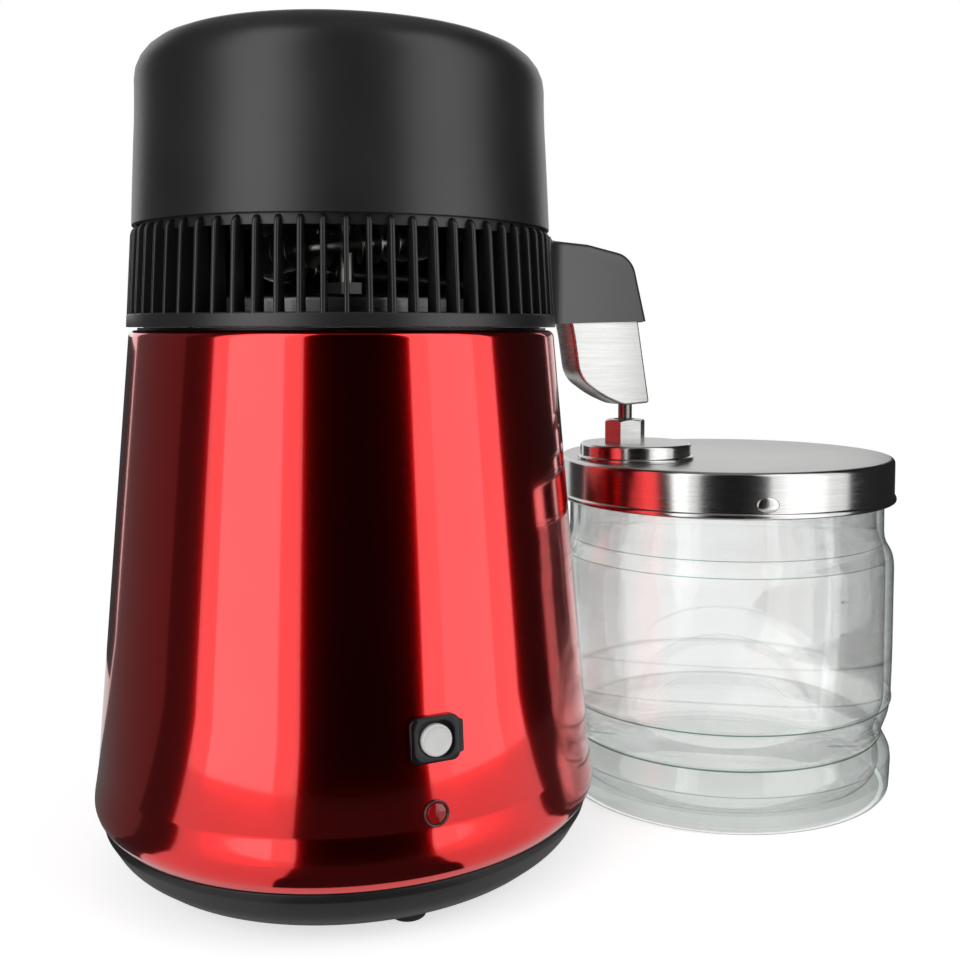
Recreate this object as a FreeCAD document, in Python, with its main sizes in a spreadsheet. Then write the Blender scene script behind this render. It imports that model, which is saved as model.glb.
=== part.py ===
# Glass water distiller: a boiler with a lift-off condenser head, and a glass jar under its spout.
# Millimetres, +Z up. The boiler stands on the -X side, the jar on the +X side, the button faces -Y.
import math
import os

import FreeCAD
import Part
import Sketcher

SIZES = {
    # where the two stands are, and the gaps between pieces
    "axis_distance": 213.25,
    "seat_gap": 0.3,
    "slide_gap": 0.4,
    # feet and base pan
    "foot_radius": 7.5,
    "foot_circle": 79.5,
    "foot_height": 7.75,
    "pan_height": 20.25,
    "pan_floor_inset": 14.7,
    "pan_waist_inset": 5.9,
    "pan_waist_height": 7.0,
    "pan_ledge_inset": 0.2,
    "pan_ledge_height": 3.2,
    "pan_wall": 2.5,
    "pan_lip": 6.0,
    # outer shell
    "shell_radius": 115.0,
    "shell_foot_radius": 111.4,
    "shell_flare_radius": 113.1,
    "shell_flare_height": 22.0,
    "shell_curl_height": 5.5,
    "shell_belly_height": 10.0,
    "shell_top_radius": 96.2,
    "shell_height": 216.2,
    "shell_wall": 1.0,
    "shell_round": 3.0,
    # boiling tank and heater
    "tank_radius": 84.0,
    "tank_wall": 1.0,
    "tank_depth": 192.0,
    "tank_round": 9.0,
    "tank_flange_radius": 92.6,
    "heater_radius": 62.0,
    "heater_thickness": 6.0,
    "element_radius": 46.0,
    "element_tube_radius": 4.2,
    "element_leg_length": 16.0,
    "element_leg_angle": 12.0,
    "thermostat_radius": 8.0,
    "thermostat_height": 9.0,
    "thermostat_circle": 20.0,
    "tie_circle": 68.0,
    "tie_first_angle": 45.0,
    "tie_radius": 4.0,
    "tie_bore_depth": 14.0,
    "tie_screw_radius": 1.9,
    "screw_gap": 0.1,
    "screw_head_radius": 4.2,
    "screw_head_height": 2.4,
    # reset button
    "button_height": 57.0,
    "bezel_width": 20.5,
    "bezel_rise": 18.0,
    "bezel_thickness": 2.4,
    "bezel_round": 3.2,
    "bezel_tab_width": 1.8,
    "bezel_tab_rise": 13.0,
    "button_radius": 6.3,
    "button_proud": 1.9,
    "button_round": 0.8,
    "button_seat": 1.0,
    "button_travel": 1.8,
    "button_stem_radius": 3.0,
    "button_stem_length": 7.0,
    "switch_width": 15.0,
    "tank_clearance": 8.0,
    # indicator lamp
    "lamp_height": 28.0,
    "lens_radius": 5.3,
    "lens_proud": 1.3,
    "lens_stem_radius": 4.2,
    "lens_depth": 5.0,
    "lamp_radius": 3.8,
    "lamp_depth": 9.0,
    # mains inlet
    "inlet_height": 34.0,
    "inlet_width": 27.0,
    "inlet_rise": 20.0,
    "inlet_back_wall": 5.8,
    "inlet_wall": 2.0,
    "inlet_lip": 2.6,
    "inlet_lip_thickness": 1.8,
    "inlet_round": 1.5,
    "pin_width": 2.0,
    "pin_rise": 4.0,
    "pin_length": 8.5,
    "pin_pitch": 7.0,
    "pin_offset": 2.0,
    # steam lid, its gasket and the steam fitting
    "gasket_height": 2.0,
    "gasket_inner_radius": 80.0,
    "gasket_outer_radius": 90.0,
    "steam_lid_radius": 91.5,
    "steam_lid_wall": 1.0,
    "steam_lid_step_radius": 71.0,
    "steam_lid_step_height": 11.8,
    "steam_lid_round": 3.0,
    "riser_nut_flats": 16.4,
    "riser_nut_height": 7.0,
    # louvre ring
    "collar_radius": 97.3,
    "collar_top_radius": 97.0,
    "collar_wall": 2.8,
    "collar_height": 5.8,
    "ring_flange_radius": 76.0,
    "rib_count": 66.0,
    "rib_thickness": 2.0,
    "rib_depth": 8.4,
    "rib_height": 37.8,
    "rib_lean": 2.3,
    "rib_crown": 4.2,
    "rib_foot": 0.8,
    "rib_phase": 2.327,
    "top_ring_radius": 91.4,
    "top_ring_wall": 3.2,
    "top_ring_height": 10.5,
    "top_ring_drop": 4.0,
    "guard_wall": 1.5,
    "guard_first_angle": 12.0,
    "guard_sweep": 158.0,
    # cap
    "cap_radius": 94.2,
    "cap_shoulder_radius": 91.65,
    "cap_height": 80.1,
    "cap_round": 17.0,
    "cap_crown": 2.0,
    "cap_wall": 2.2,
    "cap_lug_width": 10.0,
    "cap_lug_height": 9.0,
    "cap_lug_reach": 7.0,
    # condenser coil
    "coil_radius": 34.0,
    "tube_radius": 3.6,
    "tube_bore": 2.7,
    "tube_bore_depth": 12.0,
    "coil_pitch": 19.0,
    "coil_turns": 2.25,
    "coil_rise": 12.5,
    "fin_radius": 9.0,
    "fin_thickness": 0.6,
    "fin_gap": 0.05,
    "fins_per_turn": 30.0,
    # posts, bracket, motor and fan
    "post_circle": 83.0,
    "post_first_angle": 27.5,
    "post_radius": 1.8,
    "post_nut_flats": 6.4,
    "post_nut_height": 3.0,
    "fan_gap": 5.0,
    "fan_radius": 72.0,
    "fan_chord": 34.0,
    "fan_blade_count": 5.0,
    "fan_blade_thickness": 1.8,
    "fan_blade_pitch": 28.0,
    "fan_blade_sink": 2.0,
    "fan_hub_radius": 15.0,
    "fan_hub_height": 16.0,
    "shaft_radius": 3.0,
    "shaft_gap": 0.05,
    "shaft_clip_radius": 6.0,
    "shaft_clip_height": 2.0,
    "motor_radius": 27.0,
    "motor_height": 16.0,
    "motor_round": 3.0,
    "bracket_width": 16.0,
    "bracket_thickness": 1.5,
    "bracket_gap": 2.0,
    "bracket_hole": 7.0,
    "bracket_ring_width": 9.0,
    "motor_screw_circle": 20.0,
    "motor_screw_radius": 1.5,
    "motor_screw_depth": 5.0,
    "cap_screw_circle": 85.4,
    "cap_screw_radius": 1.2,
    "cap_screw_depth": 6.0,
    "small_head_radius": 2.1,
    "small_head_height": 1.2,
    # spout hood
    "spout_width": 24.0,
    "spout_wall": 2.5,
    "spout_root": 92.0,
    "spout_reach": 156.0,
    "spout_lean": 8.4,
    "spout_tilt": 1.9,
    "spout_nose_drop": 7.3,
    "spout_nose_round": 8.0,
    "spout_brow_reach": 122.0,
    "spout_brow_drop": 2.1,
    "spout_flare": 12.0,
    "spout_base_rise": 1.4,
    "spout_window_width": 17.0,
    # steel scoop
    "scoop_width": 18.4,
    "scoop_wall": 1.0,
    "scoop_top_reach": 152.0,
    "scoop_tip_reach": 159.5,
    "scoop_heel_reach": 144.0,
    "scoop_sole_reach": 131.5,
    "scoop_knee_reach": 118.0,
    "scoop_throat_reach": 114.3,
    "scoop_neck_reach": 112.2,
    "scoop_grip": 4.5,
    "scoop_gap": 7.6,
    "scoop_tip_share": 0.0217,
    "scoop_sole_share": 0.1135,
    "scoop_knee_share": 0.3164,
    "scoop_throat_share": 0.8333,
    "scoop_knee_round": 8.0,
    # outlet
    "outlet_reach": 150.0,
    "outlet_drop": 17.6,
    "outlet_elbow_reach": 130.0,
    "tube_bend": 10.0,
    "tube_turn_reach": 84.0,
    "riser_swing": 15.0,
    "riser_bend": 8.0,
    "outlet_gap": 0.5,
    # jar
    "jar_radius": 90.0,
    "jar_wall": 4.0,
    "jar_floor": 7.0,
    "jar_height": 172.4,
    "jar_neck_radius": 84.4,
    "jar_neck_height": 35.0,
    "jar_shoulder_height": 20.0,
    "jar_shoulder_round": 7.0,
    "jar_waist_radius": 84.6,
    "jar_waist_height": 31.6,
    "jar_waist_spread": 11.0,
    "jar_waist_land": 2.0,
    "jar_foot_round": 5.0,
    # lid of the jar
    "seal_height": 3.4,
    "seal_inner_radius": 79.5,
    "seal_outer_radius": 86.5,
    "lid_radius": 89.6,
    "lid_wall": 1.0,
    "lid_skirt": 22.5,
    "lid_round": 2.6,
    "bead_radius": 90.6,
    "bead_height": 2.6,
    # filter and nozzle
    "filter_reach": 156.5,
    "filter_cap_radius": 29.0,
    "filter_cap_height": 8.7,
    "filter_cap_round": 1.6,
    "filter_cap_wall": 3.6,
    "filter_flange_radius": 30.5,
    "filter_flange_height": 2.0,
    "basket_radius": 21.5,
    "basket_wall": 0.8,
    "basket_depth": 17.0,
    "basket_flange_radius": 26.0,
    "sachet_height": 12.0,
    "nozzle_flats": 18.8,
    "nozzle_turn": -12.0,
    "nozzle_height": 12.4,
    "nozzle_bore": 4.6,
    "nozzle_chamfer": 1.2,
    "nozzle_stud_radius": 7.0,
    "nozzle_nut_radius": 10.5,
    "nozzle_nut_height": 2.4,
}


class Size:
    """A length that carries both its number and the text that a cell expression needs."""

    def __init__(self, text, value):
        self.text = text
        self.value = value

    def _with(self, other, sign, result, swap=False):
        other_text = other.text if isinstance(other, Size) else repr(float(other))
        first, second = (other_text, self.text) if swap else (self.text, other_text)
        return Size(f"({first} {sign} {second})", result)

    def __add__(self, other):
        return self._with(other, "+", self.value + number(other))

    def __radd__(self, other):
        return self._with(other, "+", number(other) + self.value, swap=True)

    def __sub__(self, other):
        return self._with(other, "-", self.value - number(other))

    def __rsub__(self, other):
        return self._with(other, "-", number(other) - self.value, swap=True)

    def __mul__(self, other):
        return self._with(other, "*", self.value * number(other))

    def __rmul__(self, other):
        return self._with(other, "*", number(other) * self.value, swap=True)

    def __truediv__(self, other):
        return self._with(other, "/", self.value / number(other))

    def __neg__(self):
        return 0.0 - self


def number(size):
    return size.value if isinstance(size, Size) else float(size)


def square_root(size):
    return Size(f"sqrt({size.text})", math.sqrt(size.value))


def steepness(run, rise):
    """The angle in degrees of a line that goes in by run over a height of rise."""
    degrees = math.degrees(math.atan(run.value / rise.value))
    return Size(f"(atan({run.text} / {rise.text}) / 1 deg)", degrees)


def sine(angle):
    return Size(f"sin({angle.text})", math.sin(math.radians(angle.value)))


def cosine(angle):
    return Size(f"cos({angle.text})", math.cos(math.radians(angle.value)))


class SizeSheet:
    """Every driving dimension as a cell of the document's sheet, and as an attribute here."""

    def __init__(self, document):
        sheet = document.addObject("Spreadsheet::Sheet", "Sizes")
        for row, (name, value) in enumerate(SIZES.items(), start=1):
            sheet.set(f"A{row}", name)
            sheet.set(f"B{row}", repr(value))
            sheet.setAlias(f"B{row}", name)
            setattr(self, name, Size(f"Sizes.{name}", value))


doc = FreeCAD.newDocument("WaterDistiller")
g = SizeSheet(doc)
doc.recompute()
kept = []

# the two stands: the boiler's axis and the jar's axis, so that the whole set is centred on X = 0
boiler_x = (g.shell_radius - g.axis_distance - g.bead_radius) / 2.0
jar_x = boiler_x + g.axis_distance

# heights above the table that several pieces share
pan_floor_top = g.foot_height + g.pan_wall
shell_bottom = g.foot_height + g.pan_height
shell_top = shell_bottom + g.shell_height
flare_z = shell_bottom + g.shell_flare_height
tank_top = shell_top + g.tank_wall
tank_bottom = tank_top - g.tank_depth
heater_bottom = tank_bottom - g.heater_thickness
gasket_top = tank_top + g.gasket_height
steam_flange_top = gasket_top + g.steam_lid_wall
steam_lid_top = gasket_top + g.steam_lid_step_height
collar_bottom = tank_top + g.seat_gap
collar_top = collar_bottom + g.collar_height
rib_top = collar_top + g.rib_height
cap_bottom = rib_top + g.slide_gap
cap_shoulder = cap_bottom + g.cap_height
coil_bottom = steam_lid_top + g.coil_rise
coil_top = coil_bottom + g.coil_pitch * g.coil_turns
fan_bottom = coil_top + g.fin_radius + g.fan_gap
bracket_bottom = fan_bottom + g.fan_hub_height + g.bracket_gap
bracket_top = bracket_bottom + g.bracket_thickness
lid_top = g.jar_height + g.seal_height + g.lid_wall
filter_cap_top = lid_top + g.filter_cap_height
nozzle_top = filter_cap_top + g.nozzle_height
outlet_bottom = nozzle_top + g.outlet_gap
spout_bottom = collar_bottom + g.spout_base_rise

# the shell's wall leans in by this angle, and stands this far out at a height
shell_lean = steepness(g.shell_flare_radius - g.shell_top_radius, shell_top - flare_z)


def shell_face(height):
    share = (shell_top - height) / (shell_top - flare_z)
    return g.shell_top_radius + (g.shell_flare_radius - g.shell_top_radius) * share


def room_behind(height):
    """How deep a piece behind the shell's wall may be, with the tank's clearance left."""
    return shell_face(height) - g.tank_radius - g.tank_clearance


# taller, wider and longer than the whole set
beyond = g.axis_distance * 3.0


def bind(thing, name, size):
    """Sets a property from a Size through an expression, or from a plain number."""
    if isinstance(size, Size):
        thing.setExpression(name, size.text)
    else:
        setattr(thing, name, size)


def place(thing, x=0.0, y=0.0, z=0.0, about=(0, 0, 1), angle=0.0):
    spot = FreeCAD.Vector(number(x), number(y), number(z))
    turn = FreeCAD.Rotation(FreeCAD.Vector(*about), number(angle))
    thing.Placement = FreeCAD.Placement(spot, turn)
    for name, size in (("x", x), ("y", y), ("z", z)):
        if isinstance(size, Size):
            thing.setExpression(f".Placement.Base.{name}", size.text)
    if isinstance(angle, Size):
        thing.setExpression(".Placement.Rotation.Angle", angle.text)
    return thing


def keep(thing, label, stand):
    """Names a finished piece, stands it at its axis and lists it for export."""
    thing.Label = label
    place(thing, x=stand)
    kept.append(thing)
    return thing


def cylinder(name, radius, height, **where):
    thing = doc.addObject("Part::Cylinder", name)
    bind(thing, "Radius", radius)
    bind(thing, "Height", height)
    return place(thing, **where)


def box(name, width, depth, height, **where):
    thing = doc.addObject("Part::Box", name)
    bind(thing, "Length", width)
    bind(thing, "Width", depth)
    bind(thing, "Height", height)
    return place(thing, **where)


def centred_box(name, width, depth, height, x=0.0, y=0.0, z=0.0):
    return box(name, width, depth, height, x=x - width / 2.0, y=y - depth / 2.0, z=z)


def prism(name, flats, height, **where):
    """A hexagonal prism, flats across."""
    thing = doc.addObject("Part::Prism", name)
    thing.Polygon = 6
    bind(thing, "Circumradius", flats / math.sqrt(3.0))
    bind(thing, "Height", height)
    return place(thing, **where)


def fuse(name, things):
    thing = doc.addObject("Part::MultiFuse", name)
    thing.Shapes = things
    thing.Refine = True
    return thing


def cut(name, base, tools):
    thing = doc.addObject("Part::Cut", name)
    thing.Base = base
    thing.Tool = tools[0] if len(tools) == 1 else fuse(name + "_tools", tools)
    return thing


def common(name, base, tool):
    thing = doc.addObject("Part::Common", name)
    thing.Base = base
    thing.Tool = tool
    return thing


def group(name, things):
    thing = doc.addObject("Part::Compound", name)
    thing.Links = things
    return thing


def around(count, start=0.0):
    """Equal steps round a circle, as angles in degrees."""
    return [start + 360.0 * step / count for step in range(count)]


def on_ring(radius, degrees, z):
    """A point at an angle on a circle about the stand's axis, as keyword arguments."""
    turn = math.radians(degrees)
    x = round(math.cos(turn), 9)
    y = round(math.sin(turn), 9)
    return {"x": radius * x, "y": radius * y, "z": z}


def outline_sketch(body, role, points):
    """A closed outline on one of the body's own planes, each corner bound to its two sizes."""
    sketch = body.newObject("Sketcher::SketchObject", body.Name + "_outline")
    plane = next(f for f in body.Origin.OriginFeatures if f.Role == role)
    sketch.AttachmentSupport = [(plane, "")]
    sketch.MapMode = "FlatFace"
    count = len(points)
    corners = [FreeCAD.Vector(number(a), number(b), 0) for a, b in points]
    for index in range(count):
        line = Part.LineSegment(corners[index], corners[(index + 1) % count])
        sketch.addGeometry(line, False)
    for index in range(count):
        sketch.addConstraint(Sketcher.Constraint("Coincident", index, 2, (index + 1) % count, 1))
    for index, corner in enumerate(points):
        for kind, size in zip(("DistanceX", "DistanceY"), corner):
            rule = Sketcher.Constraint(kind, -1, 1, index, 1, number(size))
            place_in_list = sketch.addConstraint(rule)
            if isinstance(size, Size):
                sketch.setExpression(f"Constraints[{place_in_list}]", size.text)
    return sketch


def turned_body(name, points):
    """A full turn of an outline of (radius, height) corners about the body's Z axis."""
    body = doc.addObject("PartDesign::Body", name)
    sketch = outline_sketch(body, "XZ_Plane", points)
    turn = body.newObject("PartDesign::Revolution", name + "_turn")
    turn.Profile = sketch
    turn.ReferenceAxis = (sketch, ["V_Axis"])
    turn.Angle = 360.0
    body.Tip = turn
    doc.recompute()
    return body


def plate_body(name, points, thickness, role="XZ_Plane"):
    """An outline given a thickness evenly to both sides of its plane."""
    body = doc.addObject("PartDesign::Body", name)
    sketch = outline_sketch(body, role, points)
    pad = body.newObject("PartDesign::Pad", name + "_pad")
    pad.Profile = sketch
    pad.SideType = "Symmetric"
    bind(pad, "Length", thickness)
    body.Tip = pad
    doc.recompute()
    return body


def edge_lies_at(edge, first, second, flat):
    """Whether an edge is the circle, or the straight edge across a plate, at two coordinates."""
    bounds = edge.BoundBox
    near = 0.02
    if abs(bounds.ZMax - bounds.ZMin) > near or abs(bounds.ZMin - second) > near:
        return False
    if flat and bounds.XMax - bounds.XMin > near:
        return False
    return abs(bounds.XMax - first) < near


def round_edges(body, spots, radius, flat=False):
    """Rounds the edges at the given (radius, height) or, on a plate, (x, z) spots."""
    base = body.Tip
    names = []
    for index, edge in enumerate(base.Shape.Edges, start=1):
        if any(edge_lies_at(edge, number(a), number(b), flat) for a, b in spots):
            names.append(f"Edge{index}")
    rounding = body.newObject("PartDesign::Fillet", body.Name + "_round")
    rounding.Base = (base, names)
    bind(rounding, "Radius", radius)
    body.Tip = rounding
    doc.recompute()
    return body


def on_shell(thing, side, height, out=0.0, across=0.0, along=0.0):
    """Turns a piece's own Z outwards on the shell's wall: side is -1 at the front, 1 at the back."""
    angle = (90.0 - shell_lean) * -side
    tilt_y = cosine(angle)
    tilt_z = sine(angle)
    y = shell_face(height) * side - tilt_z * out + tilt_y * along
    z = height + tilt_y * out + tilt_z * along
    return place(thing, x=across, y=y, z=z, about=(1, 0, 0), angle=angle)


# ---- boiler: base and shell ----


def make_rubber_feet():
    feet = [
        cylinder(f"foot_{index}", g.foot_radius, g.foot_height, **on_ring(g.foot_circle, degrees, 0.0))
        for index, degrees in enumerate(around(4))
    ]
    keep(group("feet", feet), "rubber_feet", boiler_x)


def make_base_pan():
    ledge_top = shell_bottom - g.seat_gap
    ledge_bottom = ledge_top - g.pan_ledge_height
    lip_radius = g.shell_foot_radius - g.shell_wall - g.slide_gap
    ledge_radius = g.shell_foot_radius - g.pan_ledge_inset
    waist_radius = g.shell_foot_radius - g.pan_waist_inset
    floor_radius = g.shell_foot_radius - g.pan_floor_inset
    waist_z = g.foot_height + g.pan_waist_height
    pan = turned_body(
        "pan",
        [
            (0.0, g.foot_height),
            (floor_radius, g.foot_height),
            (waist_radius, waist_z),
            (ledge_radius, ledge_bottom),
            (ledge_radius, ledge_top),
            (lip_radius, ledge_top),
            (lip_radius, shell_bottom + g.pan_lip),
            (lip_radius - g.pan_wall, shell_bottom + g.pan_lip),
            (lip_radius - g.pan_wall, ledge_bottom),
            (waist_radius - g.pan_wall, waist_z + g.pan_wall),
            (floor_radius - g.pan_wall, pan_floor_top),
            (0.0, pan_floor_top),
        ],
    )
    hole_radius = g.tie_screw_radius + g.screw_gap
    holes = [
        cylinder(f"pan_hole_{step}", hole_radius, g.pan_wall, **tie_spot(step, g.foot_height))
        for step in range(3)
    ]
    keep(cut("pan_drilled", pan, holes), "base_pan", boiler_x)


def tie_spot(step, z):
    return on_ring(g.tie_circle, around(3, SIZES["tie_first_angle"])[step], z)


def make_tie_rods():
    rods = []
    for step in range(3):
        foot = tie_spot(step, pan_floor_top)
        rod = cylinder(f"rod_{step}", g.tie_radius, tank_bottom - pan_floor_top, **foot)
        bore_radius = g.tie_screw_radius + g.screw_gap
        bore = cylinder(f"rod_bore_{step}", bore_radius, g.tie_bore_depth, **foot)
        rods.append(cut(f"rod_bored_{step}", rod, [bore]))
    keep(group("rods", rods), "tie_rods", boiler_x)


def make_tie_screws():
    screws = []
    shank_length = g.pan_wall + g.tie_bore_depth - g.slide_gap
    for step in range(3):
        shank_spot = tie_spot(step, g.foot_height)
        shank = cylinder(f"tie_shank_{step}", g.tie_screw_radius, shank_length, **shank_spot)
        head_spot = tie_spot(step, g.foot_height - g.screw_head_height)
        head = cylinder(f"tie_head_{step}", g.screw_head_radius, g.screw_head_height, **head_spot)
        screws.append(fuse(f"tie_screw_{step}", [shank, head]))
    keep(group("base_screws_set", screws), "base_screws", boiler_x)


def make_outer_shell():
    wall = g.shell_wall
    belly_z = shell_bottom + g.shell_belly_height
    curl_z = shell_bottom + g.shell_curl_height
    lip_radius = g.tank_radius + g.slide_gap
    shell = turned_body(
        "shell",
        [
            (g.shell_foot_radius, shell_bottom),
            (g.shell_radius, curl_z),
            (g.shell_radius, belly_z),
            (g.shell_flare_radius, flare_z),
            (g.shell_top_radius, shell_top),
            (lip_radius, shell_top),
            (lip_radius, shell_top - wall),
            (g.shell_top_radius - wall, shell_top - wall),
            (g.shell_flare_radius - wall, flare_z),
            (g.shell_radius - wall, belly_z),
            (g.shell_radius - wall, curl_z),
            (g.shell_foot_radius - wall, shell_bottom),
        ],
    )
    round_edges(shell, [(g.shell_top_radius, shell_top)], g.shell_round)
    round_edges(shell, [(g.shell_radius, belly_z), (g.shell_radius, curl_z)], g.shell_round)
    button_z = shell_bottom + g.button_height
    opening = g.switch_width + g.slide_gap * 2.0
    switch_hole = centred_on_shell("switch_hole", opening, opening, room_behind(button_z), -1, button_z)
    lamp_z = shell_bottom + g.lamp_height
    lamp_hole = cylinder("lamp_hole", g.lens_stem_radius + g.slide_gap, g.lens_depth * 2.0)
    on_shell(lamp_hole, -1, lamp_z, out=-g.lens_depth)
    inlet_z = shell_bottom + g.inlet_height
    inlet_hole = centred_on_shell(
        "inlet_hole",
        g.inlet_width + g.slide_gap * 2.0,
        g.inlet_rise + g.slide_gap * 2.0,
        room_behind(inlet_z),
        1,
        inlet_z,
    )
    keep(cut("shell_cut", shell, [switch_hole, lamp_hole, inlet_hole]), "outer_shell", boiler_x)


def centred_on_shell(name, width, rise, depth, side, height, out=None, across=0.0):
    """A box on the shell's wall about a height, half in and half out unless out is given."""
    thing = box(name, width, rise, depth)
    start = depth / -2.0 if out is None else out
    return on_shell(thing, side, height, out=start, across=across - width / 2.0, along=rise / -2.0)


def make_boiling_tank():
    inside = g.tank_radius - g.tank_wall
    tank = turned_body(
        "tank",
        [
            (0.0, tank_bottom),
            (g.tank_radius, tank_bottom),
            (g.tank_radius, shell_top),
            (g.tank_flange_radius, shell_top),
            (g.tank_flange_radius, tank_top),
            (inside, tank_top),
            (inside, tank_bottom + g.tank_wall),
            (0.0, tank_bottom + g.tank_wall),
        ],
    )
    round_edges(tank, [(g.tank_radius, tank_bottom)], g.tank_round)
    round_edges(tank, [(inside, tank_bottom + g.tank_wall)], g.tank_round - g.tank_wall)
    keep(tank, "boiling_tank", boiler_x)


def make_heater():
    plate = cylinder("plate", g.heater_radius, g.heater_thickness, z=heater_bottom)
    keep(plate, "heater_plate", boiler_x)
    ring_z = heater_bottom - g.element_tube_radius
    ring = doc.addObject("Part::Torus", "element_ring")
    bind(ring, "Radius1", g.element_radius)
    bind(ring, "Radius2", g.element_tube_radius)
    ring.Angle3 = 360.0 - SIZES["element_leg_angle"] * 2.0
    place(ring, z=ring_z, angle=g.element_leg_angle)
    legs = []
    for side in (-1, 1):
        turn = g.element_leg_angle * side
        leg = cylinder(
            f"element_leg_{side + 1}",
            g.element_tube_radius,
            g.element_leg_length,
            x=g.element_radius * cosine(turn),
            y=g.element_radius * sine(turn),
            z=ring_z - g.element_leg_length,
        )
        elbow = doc.addObject("Part::Sphere", f"element_elbow_{side + 1}")
        bind(elbow, "Radius", g.element_tube_radius)
        place(elbow, x=g.element_radius * cosine(turn), y=g.element_radius * sine(turn), z=ring_z)
        legs.extend([leg, elbow])
    keep(fuse("element", [ring] + legs), "heating_element", boiler_x)
    discs = [
        cylinder(
            f"thermostat_{step}",
            g.thermostat_radius,
            g.thermostat_height,
            y=g.thermostat_circle * (2 * step - 1),
            z=heater_bottom - g.thermostat_height,
        )
        for step in range(2)
    ]
    keep(group("thermostat_pair", discs), "thermostats", boiler_x)


# ---- boiler: button, lamp and mains inlet ----


def make_switch():
    height = shell_bottom + g.button_height
    bezel = plate_body("bezel", rectangle(g.bezel_width, g.bezel_rise), g.bezel_thickness, role="XY_Plane")
    round_upright_edges(bezel, g.bezel_round)
    on_shell(bezel, -1, height, out=g.bezel_thickness / 2.0)
    tab_across = (g.bezel_width + g.bezel_tab_width) / 2.0
    tab_depth = g.bezel_thickness / 2.0
    tab = centred_on_shell(
        "bezel_tab",
        g.bezel_tab_width,
        g.bezel_tab_rise,
        tab_depth,
        -1,
        height,
        out=tab_depth / 4.0,
        across=tab_across,
    )
    bore_radius = g.button_radius + g.slide_gap
    bore = on_shell(cylinder("bezel_bore", bore_radius, g.bezel_thickness), -1, height)
    keep(cut("bezel_bored", fuse("bezel_with_tab", [bezel, tab]), [bore]), "switch_bezel", boiler_x)

    depth = room_behind(height)
    block = centred_on_shell("switch_block", g.switch_width, g.switch_width, depth, -1, height, out=-depth)
    well_depth = g.button_seat + g.button_travel + g.slide_gap
    well = on_shell(cylinder("switch_well", bore_radius, well_depth), -1, height, out=-well_depth)
    stem_bore_depth = g.button_seat + g.button_stem_length + g.button_travel + g.slide_gap
    stem_bore_radius = g.button_stem_radius + g.slide_gap
    stem_bore = cylinder("switch_stem_bore", stem_bore_radius, stem_bore_depth)
    on_shell(stem_bore, -1, height, out=-stem_bore_depth)
    keep(cut("switch_bored", block, [well, stem_bore]), "switch_body", boiler_x)

    face = g.bezel_thickness + g.button_proud
    stem_end = -(g.button_seat + g.button_stem_length)
    button = turned_body(
        "button",
        [
            (0.0, stem_end),
            (g.button_stem_radius, stem_end),
            (g.button_stem_radius, -g.button_seat),
            (g.button_radius, -g.button_seat),
            (g.button_radius, face),
            (0.0, face),
        ],
    )
    round_edges(button, [(g.button_radius, face)], g.button_round)
    keep(button, "reset_button", boiler_x)
    on_shell(button, -1, height, across=boiler_x)


def rectangle(width, rise):
    x = width / 2.0
    y = rise / 2.0
    return [(-x, -y), (x, -y), (x, y), (-x, y)]


def round_upright_edges(body, radius):
    base = body.Tip
    names = []
    for index, edge in enumerate(base.Shape.Edges, start=1):
        if edge.BoundBox.ZLength > max(edge.BoundBox.XLength, edge.BoundBox.YLength):
            names.append(f"Edge{index}")
    rounding = body.newObject("PartDesign::Fillet", body.Name + "_corners")
    rounding.Base = (base, names)
    bind(rounding, "Radius", radius)
    body.Tip = rounding
    doc.recompute()


def make_indicator():
    height = shell_bottom + g.lamp_height
    head = on_shell(cylinder("lens_head", g.lens_radius, g.lens_proud), -1, height)
    stem = on_shell(cylinder("lens_stem", g.lens_stem_radius, g.lens_depth), -1, height, out=-g.lens_depth)
    keep(fuse("lens", [head, stem]), "indicator_lens", boiler_x)
    lamp_end = -(g.lens_depth + g.lamp_depth)
    lamp = on_shell(cylinder("lamp", g.lamp_radius, g.lamp_depth), -1, height, out=lamp_end)
    keep(group("lamp_solid", [lamp]), "indicator_lamp", boiler_x)


def make_mains_inlet():
    height = shell_bottom + g.inlet_height
    lip = plate_body(
        "inlet_lip",
        rectangle(g.inlet_width + g.inlet_lip * 2.0, g.inlet_rise + g.inlet_lip * 2.0),
        g.inlet_lip_thickness,
        role="XY_Plane",
    )
    round_upright_edges(lip, g.inlet_round)
    on_shell(lip, 1, height, out=g.inlet_lip_thickness / 2.0)
    depth = room_behind(height)
    floor = g.inlet_back_wall - depth
    housing = centred_on_shell("inlet_housing", g.inlet_width, g.inlet_rise, depth, 1, height, out=-depth)
    recess = centred_on_shell(
        "inlet_recess",
        g.inlet_width - g.inlet_wall * 2.0,
        g.inlet_rise - g.inlet_wall * 2.0,
        g.inlet_lip_thickness - floor,
        1,
        height,
        out=floor,
    )
    keep(cut("inlet_cut", fuse("inlet_block", [lip, housing]), [recess]), "mains_inlet", boiler_x)
    pins = [inlet_pin(step, height, floor) for step in range(3)]
    keep(group("pins", pins), "inlet_pins", boiler_x)


def inlet_pin(step, height, floor):
    """One of three blades: the middle one sits higher than the outer two."""
    pin = box(f"pin_{step}", g.pin_width, g.pin_rise, g.pin_length)
    rise = g.pin_offset if step == 1 else -g.pin_offset
    return on_shell(
        pin,
        1,
        height,
        out=floor,
        across=g.pin_pitch * (step - 1) - g.pin_width / 2.0,
        along=-rise - g.pin_rise / 2.0,
    )


# ---- head: steam lid, louvre ring and cap ----


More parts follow.
